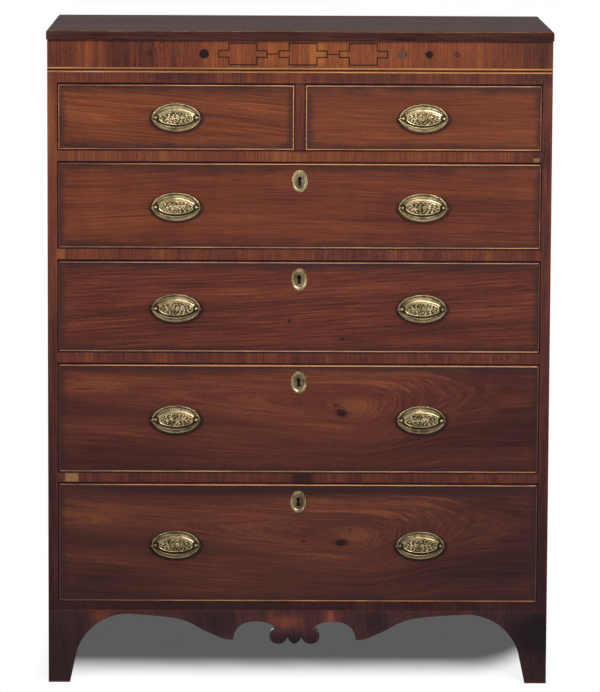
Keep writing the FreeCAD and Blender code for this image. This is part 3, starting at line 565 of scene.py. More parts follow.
    def _edge_darkening(self, board: Board) -> Signal:
        """Darkening along the edges of the field, more in some places than in others.

        Args:
            board: the board it lies on.

        Returns:
            How much of it covers the wood.
        """
        low_along, high_along, low_across, high_across = self.field
        ends = (board.along - low_along).least(high_along - board.along)
        edges = (board.across - low_across).least((high_across - board.across) * 0.8)
        patchy = board.graph.noise(board.along * 22.0 + self.seed, board.across * 30.0, 0.3, 3.0, 0.6)
        near = ends.least(edges) + (patchy - 0.5) * -0.022
        return near.step(0.022, 0.001) * self._outside(board.graph) * self.edge_dark_share


# ---------------------------------------------------------------- metal

@dataclass(frozen=True)
class Metal:
    """Aged metal: bright on what hands and cloths reach, dull and dark with patina in its recesses and with painted
    shade in its gaps, and darkened towards the floor by a painted falloff.
    """

    name: str
    bright: str
    dull: str
    patina_and_shade: str
    roughness: float
    grain: float
    patina_and_shade_maps: bool = False
    painted_falloff: float = 0.0

    def material(self) -> bpy.types.Material:
        """Build the finish.

        Returns:
            The material; when told to, it reads the piece's own attribute of patina and painted shade.
        """
        graph = Graph(bpy.data.materials.new(self.name))
        x, y, z = graph.place()
        cloud = graph.noise(x * 60.0, y * 60.0, z * 60.0, 3.0, 0.6)
        grains = graph.noise(x * 900.0, y * 900.0, z * 900.0, 2.0, 0.6)
        share = cloud.step(0.4, 0.68)
        colour = graph.mix(share, self.bright, self.dull)
        # painted falloff: the brass darker towards the floor
        colour = graph.mix(z.step(1.25, 0.1) * self.painted_falloff, colour, "a0a0a0", "MULTIPLY")
        rough = share * 0.14 + self.roughness
        if self.patina_and_shade_maps:
            # the piece's attribute: patina in recesses and painted shade in gaps
            depth = graph.node("ShaderNodeAttribute", {"attribute_name": "patina_and_shade"}, None, "Fac")
            deep = (depth + (cloud - 0.5) * 0.3).step(0.15, 1.0)
            colour = graph.mix(deep * 0.93, colour, self.patina_and_shade)
            rough = rough + deep * 0.2
        return graph.finish(colour, Roughness=rough, Normal=graph.bump(grains, self.grain), Metallic=1.0)


# ---------------------------------------------------------------- surfaces

@dataclass
class Surface:
    """Vertices, faces and, for each vertex, a value of patina and painted shade, gathered from several forms."""

    points: list[np.ndarray] = field(default_factory=list)
    faces: list[np.ndarray] = field(default_factory=list)
    patina_and_shade_maps: list[np.ndarray] = field(default_factory=list)
    smooth: list[np.ndarray] = field(default_factory=list)
    count: int = 0

    def add(self, form: Form, patina_and_shade: np.ndarray | None = None, smooth: bool = True) -> None:
        """Take in one closed form.

        Args:
            form: its vertices, n by 3, in metres, and arrays of vertex numbers with 3 or 4 columns.
            patina_and_shade: for each vertex, from 0 where it stands proud to 1 where patina in recesses and painted
                shade in gaps are darkest.
            smooth: whether it is shaded smooth.
        """
        points, faces = form
        self.points.append(points)
        self.patina_and_shade_maps.append(np.zeros(len(points)) if patina_and_shade is None else patina_and_shade)
        for block in faces:
            self.faces.append(block + self.count)
            self.smooth.append(np.full(len(block), smooth))
        self.count += len(points)

    def mesh(self, name: str) -> bpy.types.Mesh:
        """Make the mesh.

        Args:
            name: the mesh's name.

        Returns:
            The mesh, with its attribute of patina and painted shade.
        """
        made = bpy.data.meshes.new(name)
        listed = [face for block in self.faces for face in block.tolist()]
        made.from_pydata(np.concatenate(self.points).tolist(), [], listed)
        attribute = made.attributes.new("patina_and_shade", "FLOAT", "POINT")
        attribute.data.foreach_set("value", np.concatenate(self.patina_and_shade_maps).astype(np.float32))
        made.polygons.foreach_set("use_smooth", np.concatenate(self.smooth))
        made.update()
        return made


def ring_faces(rows: int, columns: int, closed: bool = False) -> np.ndarray:
    """Quads of a grid whose columns close into rings.

    Args:
        rows: how many rings of points.
        columns: points in a ring.
        closed: whether the last ring joins the first.

    Returns:
        An array of quads.
    """
    row, column = np.meshgrid(np.arange(rows if closed else rows - 1), np.arange(columns), indexing="ij")
    down, after = (row + 1) % rows, (column + 1) % columns
    corners = (row * columns + column, row * columns + after, down * columns + after, down * columns + column)
    return np.stack(corners, -1).reshape(-1, 4)


def closed_grid(rings: np.ndarray, flip: bool = False) -> Form:
    """Close a stack of rings with a pole at each end.

    Args:
        rings: rows by columns by 3; row 0 and the last row become fans round their middles.
        flip: whether the faces turn the other way.

    Returns:
        The closed form.
    """
    rows, columns, _ = rings.shape
    points = np.concatenate([rings.reshape(-1, 3), rings[0].mean(0)[None], rings[-1].mean(0)[None]])
    column = np.arange(columns)
    after, last = (column + 1) % columns, (rows - 1) * columns
    faces = [ring_faces(rows, columns),
             np.stack([np.full(columns, rows * columns), after, column], -1),
             np.stack([np.full(columns, rows * columns + 1), last + column, last + after], -1)]
    return points, [np.flip(block, 1) if flip else block for block in faces]


def circle(count: int) -> np.ndarray:
    """Angles that divide a circle into equal parts, from 0."""
    return np.arange(count) * 2 * np.pi / count


def lathe(profile: np.ndarray, centre: tuple[float, float, float], axis: int, columns: int,
          start: float = 0.0) -> Form:
    """Turn a profile about a line.

    Args:
        profile: rows of radius and distance along the line in millimetres, ordered so that distance rises.
        centre: the point that distance is measured from, in millimetres.
        axis: 0 or 1 for a line along x or y.
        columns: points round.
        start: the angle of the first.

    Returns:
        The closed form: (r cos a, d, r sin a) at every angle a.
    """
    angle = start + circle(columns)
    radius = profile[:, :1]
    first, second = radius * np.cos(angle), radius * np.sin(angle)
    length = np.broadcast_to(profile[:, 1:], first.shape)
    rings = np.stack((second, length, first) if axis else (length, first, second), -1)
    return closed_grid((rings + np.array(centre)) * MM)


def even_ellipse(long: float, short: float, count: int) -> tuple[np.ndarray, np.ndarray]:
    """Angles that divide an ellipse into equal lengths.

    Args:
        long: half its length.
        short: half its height.
        count: how many points.

    Returns:
        The angles and, for each, the share of the way round.
    """
    fine = np.linspace(0, 2 * np.pi, 2001)
    pace = np.hypot(long * np.sin(fine), short * np.cos(fine))
    run = np.concatenate([[0], np.cumsum((pace[1:] + pace[:-1]) / 2)])
    share = np.arange(count) / count
    return np.interp(share, run / run[-1], fine), share


def ridge(value: np.ndarray, centre: float, width: float) -> np.ndarray:
    """A rounded ridge: sqrt(1 - ((value - centre) / width)^2) inside the width and 0 outside it."""
    return np.sqrt(np.clip(1 - ((value - centre) / width) ** 2, 0, None))


def rise(value: np.ndarray, low: float, high: float) -> np.ndarray:
    """Rise from 0 at low to 1 at high along 3t^2 - 2t^3."""
    t = np.clip((value - low) / (high - low), 0, 1)
    return t * t * (3 - 2 * t)


# ---------------------------------------------------------------- brasses

@dataclass
class Blossom:
    """A flower of the stamped field: place, size, number of petals and turn, in millimetres."""

    x: float
    z: float
    size: float
    petals: int
    turn: float

    def height(self, x: np.ndarray, z: np.ndarray) -> np.ndarray:
        """Relief of the flower: a button within a cup of petals.

        The petals are |cos(n a / 2)| along the angle a and a rounded ridge along the radius; the button is a
        small dome.

        Args:
            x: places across, from the plate's middle.
            z: places up.

        Returns:
            Height from 0 to 1.
        """
        radius = np.hypot(x - self.x, z - self.z) / self.size
        angle = np.arctan2(z - self.z, x - self.x) + self.turn
        petal = np.abs(np.cos(self.petals * angle / 2)) ** 0.6
        return np.maximum(petal * ridge(radius, 0.62, 0.42), ridge(radius, 0, 0.26))


@dataclass
class Leaf:
    """A leaf of the stamped field, a lens with a vein: place, turn, half length and half width."""

    x: float
    z: float
    turn: float
    long: float = 3.1
    wide: float = 1.35

    def height(self, x: np.ndarray, z: np.ndarray) -> np.ndarray:
        """Relief of the leaf: 1 - u^2 - |v| inside its lens, less a groove along its vein.

        Args:
            x: places across, from the plate's middle.
            z: places up.

        Returns:
            Height from 0 to 1.
        """
        dx, dz = x - self.x, z - self.z
        u = (dx * math.cos(self.turn) + dz * math.sin(self.turn)) / self.long
        v = (dz * math.cos(self.turn) - dx * math.sin(self.turn)) / self.wide
        body = np.clip(1 - u * u - v * v, 0, 1) ** 0.5
        vein = np.exp(-(v / 0.16) ** 2) * 0.45
        ribs = 0.12 * np.cos((u - np.abs(v) * 0.5) * 9)
        return np.clip(body * (0.85 - vein + ribs), 0, 1)


@dataclass
class Handle:
    """An oval back plate with a rope rim and a stamped boss, two posts with nuts, and its crescent bail."""

    x: float
    z: float
    front: float
    inside: float
    seed: int
    pivot_reach: float = 7.0
    half_long: float = 49.7
    half_short: float = 29.0
    rim: float = 1.15
    strands: int = 128
    field_long: float = 37.4
    field_high: float = 13.9
    field_drop: float = 1.7
    roll_long: float = 43.8
    roll_high: float = 20.2
    highest: float = 6.3
    leaves: int = 46
    post_offset: float = 42.0
    head: float = 3.8
    drop_out: float = 27.5
    drop_in: float = 18.9
    tip: float = 54.0
    inner_tip: float = 49.0
    tip_rise: float = 1.5
    thickness: float = 5.0
    pin: tuple[float, float] = (40.0, 50.2)

    @property
    def pivot(self) -> float:
        """How far forward the bail's pins lie."""
        return self.front - self.pivot_reach

    def ornament(self) -> list[Blossom | Leaf]:
        """The flowers of the field, and the leaves that lie on a spiral of golden angles between them.

        Returns:
            Every flower and leaf.
        """
        turn = 0.7 * self.seed
        flowers = [Blossom(3.5, -0.5, 4.6, 5, turn), Blossom(13.0, 0.5, 4.2, 5, 1 + turn),
                   Blossom(-7.5, -1.5, 4.2, 6, 2 + turn), Blossom(-17.5, -2.0, 3.6, 5, turn)]
        leaves = []
        for index in range(self.leaves):
            share, angle = ((index + 0.5) / self.leaves) ** 0.5, index * GOLDEN_ANGLE + self.seed
            x = share * 0.88 * self.field_long * math.cos(angle)
            z = share * 0.86 * self.field_high * math.sin(angle) - self.field_drop
            if all(math.hypot(x - flower.x, z - flower.z) > flower.size * 0.95 for flower in flowers):
                leaves.append(Leaf(x, z, 0.9 * math.sin(index * 1.7) + 0.3))
        return flowers + leaves

    def relief(self, x: np.ndarray, z: np.ndarray) -> tuple[np.ndarray, np.ndarray]:
        """Height of the plate's face over the drawer front.

        A dish inside the rim is milled with fine radial flutes. Over the stamped field a roll lies between two
        ovals: its section is a sine of the share of the way from one to the other, and it dies away towards the
        posts. Flowers and leaves stand on a pricked ground inside the inner oval.

        Args:
            x: places across, from the plate's middle, in millimetres.
            z: places up.

        Returns:
            Height in millimetres, and how much patina and painted shade each point takes.
        """
        plate = np.hypot(x / self.half_long, z / self.half_short)
        angle = np.arctan2(z / self.half_short, x / self.half_long)
        flutes = np.cos(angle * 110) * 0.09 * rise(plate, 0.66, 0.74) * (1 - rise(plate, 0.9, 0.95))
        dish = 0.9 + 1.0 * rise(plate, 0.8, 0.97) + flutes
        inner = np.hypot(x / self.field_long, (z + self.field_drop) / self.field_high)
        outer = np.hypot(x / self.roll_long, z / self.roll_high)
        over = rise(z, -4.0, 4.0)
        near, far = (inner - 1) * self.field_high, (1 - outer) * self.roll_high
        across = np.clip(near / np.maximum(near + far, 0.01), 0, 1)
        swell = np.sin(np.pi * across) ** 0.6 * np.clip((near + far) / 4, 0, 1)
        roll = np.where((near > 0) & (far > 0), 3.7 - 2.5 * across + 2.0 * swell, dish)
        bloom = np.max([form.height(x, z) for form in self.ornament()], axis=0)
        ground = 0.2 * np.cos(x * 4.6) * np.cos(z * 4.6)
        inside = 1 - rise(inner, 0.86, 0.94)
        carved = inside * (np.maximum(bloom * 1.6, ground) - 0.9)
        table = 3.7 + 0.5 * np.clip(1 - inner ** 2, 0, 1) + carved
        low = table + (dish - table) * rise(inner, 0.97, 1.06)
        height = np.where(inner < 1, low, low + (roll - low) * over)
        # Patina in the ground between the flowers; painted shade in the gap under the boss and round each post; the
        # dish darker just inside the rim and in its flute grooves.
        patina_and_shade = inside * np.clip(1.15 - bloom * 1.7, 0, 1) * 0.85
        patina_and_shade += np.clip(1.8 * ridge(inner, 1.17, 0.17), 0, 1) * (1 - over)
        patina_and_shade += np.where(outer > 1, 0.1 + 0.6 * rise(plate, 0.76, 0.9), 0.0) * (1 - rise(plate, 0.92, 0.96))
        patina_and_shade += ridge(np.hypot(np.abs(x) - self.post_offset, z), 5.6, 2.2) + np.clip(-flutes * 5, 0, 0.4)
        return np.minimum(height, self.highest), np.clip(patina_and_shade, 0, 1)

    def add_plate(self, surface: Surface, rows: int = 74, columns: int = 288) -> None:
        """Lay the plate: rings of points at growing shares of the oval, lifted by the relief.

        Args:
            surface: where it goes.
            rows: how many rings.
            columns: points in a ring.
        """
        angle, _ = even_ellipse(self.half_long, self.half_short, columns)
        share = (np.linspace(0.012, 1, rows) ** 0.92)[:, None]
        across, up = share * self.half_long * np.cos(angle), share * self.half_short * np.sin(angle)
        height, patina_and_shade = self.relief(across, up)
        top = np.stack([self.x + across, self.front - height, self.z + up], -1)
        back = top[-1:].copy()
        back[..., 1] = self.front
        shade = np.concatenate([patina_and_shade.ravel(), patina_and_shade[-1], [patina_and_shade[0].mean(), 0]])
        surface.add(closed_grid(np.concatenate([top, back]) * MM, True), shade)

    def add_rim(self, surface: Surface, rows: int = 640, columns: int = 9) -> None:
        """Lay the rope round the plate: a tube on the oval whose radius twists as 1 + k cos(n s - a).

        Args:
            surface: where it goes.
            rows: how many rings.
            columns: points in a ring.
        """
        long, short = self.half_long - self.rim, self.half_short - self.rim
        angle, share = even_ellipse(long, short, rows)
        around = circle(columns)
        twist = np.cos(self.strands * 2 * np.pi * share[:, None] - around)
        radius = self.rim * (0.86 + 0.16 * twist)
        normal = np.stack([np.cos(angle) / long, np.sin(angle) / short], -1)
        normal /= np.linalg.norm(normal, axis=1, keepdims=True)
        out, lift = radius * np.cos(around), radius * np.sin(around)
        across = self.x + (long * np.cos(angle))[:, None] + out * normal[:, :1]
        up = self.z + (short * np.sin(angle))[:, None] + out * normal[:, 1:]
        points = np.stack([across, self.front - self.rim - lift, up], -1).reshape(-1, 3) * MM
        surface.add((points, [ring_faces(rows, columns, True)]), np.clip(0.5 - 0.75 * twist, 0, 1).ravel())

    def add_posts(self, surface: Surface) -> None:
        """Lay both posts and their nuts: a ball head on a neck and a stepped collar, a shank, a square nut.

        Args:
            surface: where they go.
        """
        turn = np.linspace(-0.5 * np.pi, 0.36 * np.pi, 9)
        ball = np.stack([self.head * np.cos(turn), self.pivot + self.head * np.sin(turn)], -1)
        ball[0, 0] = 0.02
        face, end = self.front - 1.0, self.inside + 7.0
        steps = [[1.7, self.pivot + 3.9], [2.3, face - 2.0], [3.1, face - 1.7], [3.4, face - 1.3], [3.1, face - 1.0],
                 [4.2, face - 0.7], [4.2, face + 0.4], [2.3, face + 0.8], [2.3, end - 0.4], [1.9, end], [0.05, end]]
        nut = np.array([[2.2, 0], [6.3, 0], [7.07, 0.5], [7.07, 3.4], [6.2, 4.0], [2.2, 4.0]])
        for side in (-1, 1):
            foot = (self.x + side * self.post_offset, 0, self.z)
            surface.add(lathe(np.concatenate([ball, steps]), foot, 1, 22))
            surface.add(lathe(nut + [0, self.inside], foot, 1, 4, -0.25 * np.pi), smooth=False)

    def bail(self, rows: int = 181, columns: int = 24) -> Surface:
        """The crescent bail with its two pins.

        The middle line runs between two arcs, the outer and the inner edge. At each place along it a rounded
        section spans from edge to edge, with a lip along the outer edge and shallow flutes across its face.

        Args:
            rows: how many sections.
            columns: points in a section.

        Returns:
            The surface.
        """
        along = np.sin(np.linspace(-0.5, 0.5, rows) * np.pi)[:, None]
        outer = self._arc(self.tip, self.tip_rise, self.drop_out, along)
        inner = self._arc(self.inner_tip, -self.tip_rise, self.drop_in, along)
        around = circle(columns)
        reach, depth = (np.sign(wave) * np.abs(wave) ** 0.72 for wave in (np.cos(around), np.sin(around)))
        taper = np.clip((1 - np.abs(along)) / 0.02, 0, 1) ** 0.5
        middle, half = (outer + inner) / 2, (outer - inner) / 2
        spread = middle[:, None, :] + half[:, None, :] * (reach * taper * 0.985)[..., None]
        face = np.clip(np.sin(around), 0, 1)
        lip = np.exp(-((reach - 0.74) / 0.14) ** 2) * 0.5
        dish = np.exp(-((reach + 0.05) / 0.5) ** 2) * -0.55
        flutes = np.cos(along * 150) * 0.1 * np.exp(-((reach + 0.05) / 0.5) ** 4)
        body = (0.84 * depth + face ** 0.4 * (lip + dish + flutes) * 0.32) * (0.55 + 0.45 * taper)
        thick = np.minimum(body, 1) * self.thickness / 2 * taper
        rings = np.stack([self.x + spread[..., 0], self.pivot - thick, self.z + spread[..., 1]], -1)
        made = Surface()
        shade = np.clip(face * (0.82 - flutes * 3 - lip * 2.0), 0, 1).ravel()
        made.add(closed_grid(rings * MM, True), np.concatenate([shade, [0, 0]]))
        for low, high in ((-self.pin[1], -self.pin[0]), self.pin):
            profile = np.array([[0.05, low], [1.3, low + 0.2], [1.45, low + 0.5], [1.45, high - 0.3], [0.05, high]])
            made.add(lathe(profile, (self.x, self.pivot, self.z), 0, 14))
        return made

    @staticmethod
    def _arc(tip: float, above: float, drop: float, along: np.ndarray) -> np.ndarray:
        """Points on the arc through (-tip, above), (0, -drop) and (tip, above).

        Args:
            tip: half its chord.
            above: height of its ends.
            drop: depth of its middle.
            along: places from -1 to 1, as a column.

        Returns:
            Across and up for each place.
        """
        sagitta = drop + above
        radius = (tip ** 2 + sagitta ** 2) / (2 * sagitta)
        angle = along[:, 0] * math.asin(tip / radius)
        return np.stack([radius * np.sin(angle), radius - drop - radius * np.cos(angle)], -1)


@dataclass
class Escutcheon:
    """An oval keyhole plate, dished inside a beaded rim, with two pins."""

    front: float
    z: float
    half_wide: float = 16.5
    half_high: float = 23.5
    beads: int = 47
    highest: float = 2.0
    hole_radius: float = 3.9
    hole_top: float = 9.3
    slot_half: float = 2.4
    slot_foot: float = 4.0
    pin_offset: float = 19.04
    pin_sizes: tuple[float, float] = (2.3, 1.6)

    def keyhole(self, count: int) -> np.ndarray:
        """The keyhole's outline: a round top over a slot that widens to its foot.

        Args:
            count: how many points, from the middle of the foot round by the right.

        Returns:
            Points across and up, in millimetres.
        """
        sweep = np.linspace(-math.acos(self.slot_half / self.hole_radius), math.pi / 2, 24)
        arc = np.stack([np.cos(sweep), np.sin(sweep) - 1], -1) * self.hole_radius + [0, self.hole_top]
        right = np.concatenate([[[0, -self.hole_top], [self.slot_foot, -self.hole_top]], arc])
        whole = np.concatenate([right, right[-2:0:-1] * [-1, 1], right[:1]])
        run = np.concatenate([[0], np.cumsum(np.linalg.norm(np.diff(whole, axis=0), axis=1))])
        share = np.arange(count) / count * run[-1]
        return np.stack([np.interp(share, run, whole[:, 0]), np.interp(share, run, whole[:, 1])], -1)

    def add(self, surface: Surface, rows: int = 44, columns: int = 376) -> None:
        """Lay the plate: straight lines from the keyhole out to the oval, lifted by a profile of the oval's share.

        From the middle out: a flat field, a slope that rises to the rim, and a rim of beads cos(n a).

        Args:
            surface: where it goes.
            rows: points on each line.
            columns: how many lines.
        """
        angle = circle(columns) - np.pi / 2
        outer = np.stack([self.half_wide * np.cos(angle), self.half_high * np.sin(angle)], -1)
        share = np.linspace(0, 1, rows)[:, None, None]
        across, up = np.moveaxis(self.keyhole(columns) * (1 - share) + outer * share, -1, 0)
        part = np.hypot(across / self.half_wide, up / self.half_high)
        spin = np.cos(self.beads * np.arctan2(up / self.half_high, across / self.half_wide))
        slope = rise(part, 0.66, 0.84)
        height = 0.4 + 0.9 * slope + 0.7 * ridge(part, 0.93, 0.072) * (0.7 + 0.4 * spin)
        patina_and_shade = 0.68 - 0.6 * slope + 0.75 * ridge(part, 0.86, 0.035)
        patina_and_shade = np.where(part > 0.87, np.clip(0.3 - spin * 0.8, 0, 1), patina_and_shade)
        top = np.stack([across, self.front - np.minimum(height, self.highest), self.z + up], -1)
        foot, back = top[:1].copy(), top[-1:].copy()
        foot[..., 1] = back[..., 1] = self.front
        points = np.concatenate([foot, top, back]).reshape(-1, 3) * MM
        # the keyhole's walls take full painted shade
        shade = np.concatenate([np.ones(columns), patina_and_shade.ravel(), patina_and_shade[-1]])
        surface.add((points, [ring_faces(rows + 2, columns, True)]), np.clip(shade, 0, 1))
        turn = np.linspace(0.02, 0.5 * np.pi, 6)
        for side, size in zip((1, -1), self.pin_sizes):
            dome = np.stack([size * np.sin(turn), self.front - 1.0 - 1.3 * np.cos(turn)], -1)
            profile = np.concatenate([dome, [[size, self.front - 0.2], [0.05, self.front - 0.1]]])
            surface.add(lathe(profile, (0, 0, self.z + side * self.pin_offset), 1, 18))


# ---------------------------------------------------------------- the chest

def dress(node: str, material: bpy.types.Material) -> None:
    """Give a CAD node its finish.

    Args:
        node: the node's name.
        material: what it is finished in.
    """
    thing = NODES[node]
    if not thing.material_slots:
        thing.data.materials.append(material)
    for holder in thing.material_slots:
        holder.material = material
    LOG.info("%s: %s", node, material.name)


def show(name: str, surface: Surface, material: bpy.types.Material, body: str, node: str) -> None:
    """Put a new piece in the scene.

    Args:
        name: the piece's name.
        surface: its form.
        material: its finish.
        body: the body that it rides on.
        node: the CAD node that it stands for.
    """
    piece = bpy.data.objects.new(name, surface.mesh(name))
    piece.data.materials.append(material)
    bpy.context.scene.collection.objects.link(piece)
    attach(piece, body)
    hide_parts(node)
    LOG.info("%s: %d points, on %s", name, surface.count, body)


class Palette:
    """The finishes that several parts share."""

    def __init__(self) -> None:
        """Mix every shared finish."""
        # brass: the third tone darkens patina and painted shade, the last number is a painted falloff towards the
        # floor
        self.brass = Metal("aged_brass", "b6a17b", "82724f", "1f1a12", 0.26, 0.00004, True, 0.6).material()
        self.iron = Metal("black_iron", "342f2d", "231f1e", "151211", 0.5, 0.0001).material()
        pine = Timber("pine_lengthwise", Cut.TOP_LENGTHWISE, ("866140", "a27b4d", "b38a5b", "c39c6d"), 3.0,
                      30.0, 160.0, 0.8, edge_tone="c9a270", edge_share=0.2, roughness=0.62)
        self.pine_long = pine.material()
        self.pine_up = replace(pine, name="pine_upright", cut=Cut.FRONT_UPRIGHT, seed=5.0).material()
        self.pine_deep = replace(pine, name="pine_depthwise", cut=Cut.SIDE_LENGTHWISE, seed=7.0).material()
        self.holly = Timber(
            "holly_stringing", Cut.FRONT_LENGTHWISE, ("805230", "a46d3f", "bd8550", "d0a070"), 2.0, 40.0,
            contrast=0.9, edge_share=0.0, patches=(Panel((-0.6, 0.6), (1.2876, 1.2934), 0.0006, -0.9),)).material()
        # Painted shade and highlight on the beads: the upright beads at the drawers' ends darker, most low down; the
        # left side and the lowest beads darker; some top beads lighter; the nose lighter where it faces forward.
        left, right = (-0.6, -0.497), (0.497, 0.6)
        painted_shade_ends = tuple(Panel(ends, heights, 0.0005, share) for ends, heights, share in (
            (left, (0.0, 0.9), -0.65), (left, (0.9, 1.11), -0.35),
            (right, (0.0, 0.9), -0.6), (right, (0.9, 1.3), -0.4)))
        self.bead = Timber(
            "cock_bead", Cut.FRONT_LENGTHWISE, ("452e2b", "74493a", "9c6648", "c68c5e"), 9.0, 12.0,
            contrast=0.9, edge_share=0.0, crest_highlight=0.7, mottle=0.25, patches=painted_shade_ends + (
                Spot(-0.46, 0.7, 0.14, 9.0, -0.22), Spot(0.0, 0.1, 9.0, 0.14, -0.15),
                Spot(-0.05, 0.43, 0.35, 0.03, 0.05), Spot(-0.05, 0.675, 0.35, 0.012, 0.42),
                Spot(0.0, 1.1, 0.35, 0.012, 0.25), Spot(0.1, 0.68, 0.35, 0.05, 0.12))).material()


@dataclass
class Case:
    """The carcase: top, sides, back, rails, veneers, inlay, base and fastenings."""

    palette: Palette
    row_edges: tuple[float, ...] = (0.4255, 0.4475, 0.6775, 0.7015, 0.894, 0.919, 1.0995, 1.124, 1.2625)

    def finish_boards(self) -> None:
        """Dress the polished boards and the flanks of the base."""
        top = Timber("top_mahogany", Cut.TOP_LENGTHWISE, ("1f0f0d", "3f231e", "4d2d26", "633a2f"), 1.0, 12.0,
                     contrast=0.6, edge_tone="c4946a", edge_share=0.2, edge_radius=0.0022, roughness=0.5,
                     gloss=0.04, rubbed_above=1.3702,
                     patches=(Panel((-0.6, 0.6), (-0.3, -0.257), 0.0003, -0.13),))
        # painted falloff darkens the sides lower down
        side = Timber("side_mahogany", Cut.SIDE_UPRIGHT, ("35201c", "4f2b24", "66382c", "804d38"), 4.0, 12.0,
                      contrast=0.7, painted_falloff=0.25).material()
        flank = Timber("base_flank", Cut.SIDE_LENGTHWISE, ("1d1214", "34201f", "47281f", "5e3a2c"), 12.0)
        dress("top_board", top.material())
        dress("side_left", side)
        dress("side_right", side)
        dress("side_aprons", flank.material())

    def finish_facings(self) -> None:
        """Dress the crossbanded rails and stiles, with painted shade along the rail edges at the drawers and two
        light mends.
        """
        patches = (
            Panel((0.0, 0.768), (-0.6, -0.5035), 0.004, -0.1), Spot(0.2, -0.513, 0.4, 0.012, -0.1),
            Spot(0.25, 0.513, 0.5, 0.012, -0.3), Panel((0.1, 0.1725), (-0.6, 0.6), 0.001, -0.2),
            Panel((1.263, 1.3), (-0.6, -0.2), 0.05, -0.2), Panel((1.263, 1.3), (-0.3, 0.6), 0.01, -0.16),
            Panel((1.12, 1.26), (-0.02, 0.02), 0.002, -0.22), Spot(1.11, 0.5, 0.02, 0.03, -0.2),
            Spot(1.11, 0.1, 0.016, 0.4, 0.06), Spot(1.15, -0.513, 0.25, 0.02, 0.06),
            Spot(0.165, -0.3, 0.02, 0.2, -0.12), Panel((0.4275, 0.4465), (-0.01, 0.026), 0.002, -0.3),
            Panel((0.897, 0.918), (-0.503, -0.486), 0.002, 0.25), Spot(1.273, -0.13, 0.012, 0.05, 0.12))
        # painted shade along each rail edge, where the drawers' gaps fall dark
        gap_shade = tuple(Panel((z - 0.0016, z + 0.0016), (-0.503, 0.503), 0.0004, -0.6) for z in self.row_edges)
        mends = (Panel((0.4275, 0.4455), (-0.487, -0.46), 0.001, 0.8),
                 Panel((1.102, 1.11), (0.485, 0.497), 0.001, 0.7))
        # painted falloff darkens the crossbanding lower down
        dress("face_veneers", Timber(
            "crossband_veneer", Cut.FRONT_UPRIGHT, ("2c1718", "4b2722", "653525", "89512f"), 6.0, 9.0, 60.0, 0.56,
            wander=0.01, patches=patches + gap_shade, mends=mends, edge_share=0.2, speckle=0.5, painted_falloff=0.28).material())

    def finish_frieze(self) -> None:
        """Dress the frieze with its lighter panels, a painted shadow under the top, the stringing and the inlay."""
        bands = tuple(Panel(heights, places, fade, share) for heights, places, fade, share in (
            ((1.29, 1.36), (-0.447, -0.427), 0.001, 0.13), ((1.29, 1.36), (-0.4, -0.3), 0.006, -0.16),
            ((1.302, 1.345), (0.02, 0.05), 0.006, 0.25), ((1.302, 1.345), (-0.075, -0.045), 0.008, 0.1),
            # the last band is a painted shadow under the top's overhang
            ((1.3485, 1.36), (-0.6, 0.6), 0.0015, -0.35)))
        clouds = tuple(Spot(1.324, place, 0.05, reach, share) for place, reach, share in (
            (0.0, 0.2, 0.22), (0.3, 0.12, 0.1), (0.49, 0.05, -0.25), (-0.5, 0.03, -0.16)))
        dress("frieze_veneer", Timber(
            "frieze_veneer", Cut.FRONT_UPRIGHT, ("331916", "582d20", "6d3823", "8f542a"), 8.0, 9.0, 60.0, 0.6,
            wander=0.02, speckle=0.6, patches=clouds + bands, edge_share=0.1).material())
        dress("stringing", self.palette.holly)
        dress("frieze_inlay", self.inlay())

    def inlay(self) -> bpy.types.Material:
        """Dark inlay, four of whose six dots are lighter.

        Returns:
            The material.
        """
        graph = Graph(bpy.data.materials.new("dark_inlay"))
        x, y, z = graph.place()
        fibre = graph.noise(x * 90.0, z * 600.0, y)
        tone = graph.ramp(fibre, (0.3, 0.7), ("120a0b", "221314"))
        for place, colour in ((-0.318, "36201e"), (-0.261, "552d25"), (0.2045, "5a3a30"), (0.318, "472622")):
            tone = graph.mix(abs(x - place).step(0.0145, 0.0135) * z.step(1.3, 1.302), tone, colour)
        return graph.finish(tone, Roughness=fibre * 0.1 + 0.4, Specular_IOR_Level=0.08)

    def finish_base(self) -> None:
        """Dress the front apron: dark feet, light flames on and beside the pendant, light joint and foot lines."""
        patches = (
            Spot(0.13, -0.02, 0.017, 0.028, 0.4), Spot(0.088, -0.008, 0.016, 0.08, -0.3),
            Spot(0.14, 0.068, 0.02, 0.011, 0.26), Spot(0.14, -0.056, 0.02, 0.008, 0.2),
            Spot(0.14, -0.415, 0.02, 0.02, 0.25), Spot(0.13, -0.175, 0.03, 0.04, -0.22),
            Spot(0.14, 0.08, 0.02, 0.03, 0.1), Spot(0.13, 0.162, 0.03, 0.03, -0.22),
            Spot(0.05, 0.5, 0.12, 0.1, -0.22), Spot(0.11, 0.5, 0.04, 0.05, -0.4), Spot(0.05, -0.5, 0.12, 0.1, -0.2),
            Panel((0.1536, 0.16), (-0.6, 0.6), 0.0005, 0.2), Panel((-0.01, 0.003), (-0.6, 0.6), 0.003, 0.3))
        dress("apron_front", Timber(
            "base_veneer", Cut.FRONT_UPRIGHT, ("1a1115", "331f21", "4c2a26", "763f2e"), 11.0, 30.0, 110.0, 0.36,
            slope=0.14, speckle=0.4, patches=patches).material())

    def build(self) -> None:
        """Dress the whole case."""
        self.finish_boards()
        self.finish_facings()
        self.finish_frieze()
        self.finish_base()
        for material, nodes in ((self.palette.pine_long, ("bottom_board", "case_rails", "dust_frames")),
                                (self.palette.pine_up, ("back_boards", "centre_stile")),
                                (self.palette.pine_deep, ("guides_and_stops", "rear_feet", "base_blocks")),
                                (self.palette.iron, ("fasteners",))):
            for node in nodes:
                dress(node, material)


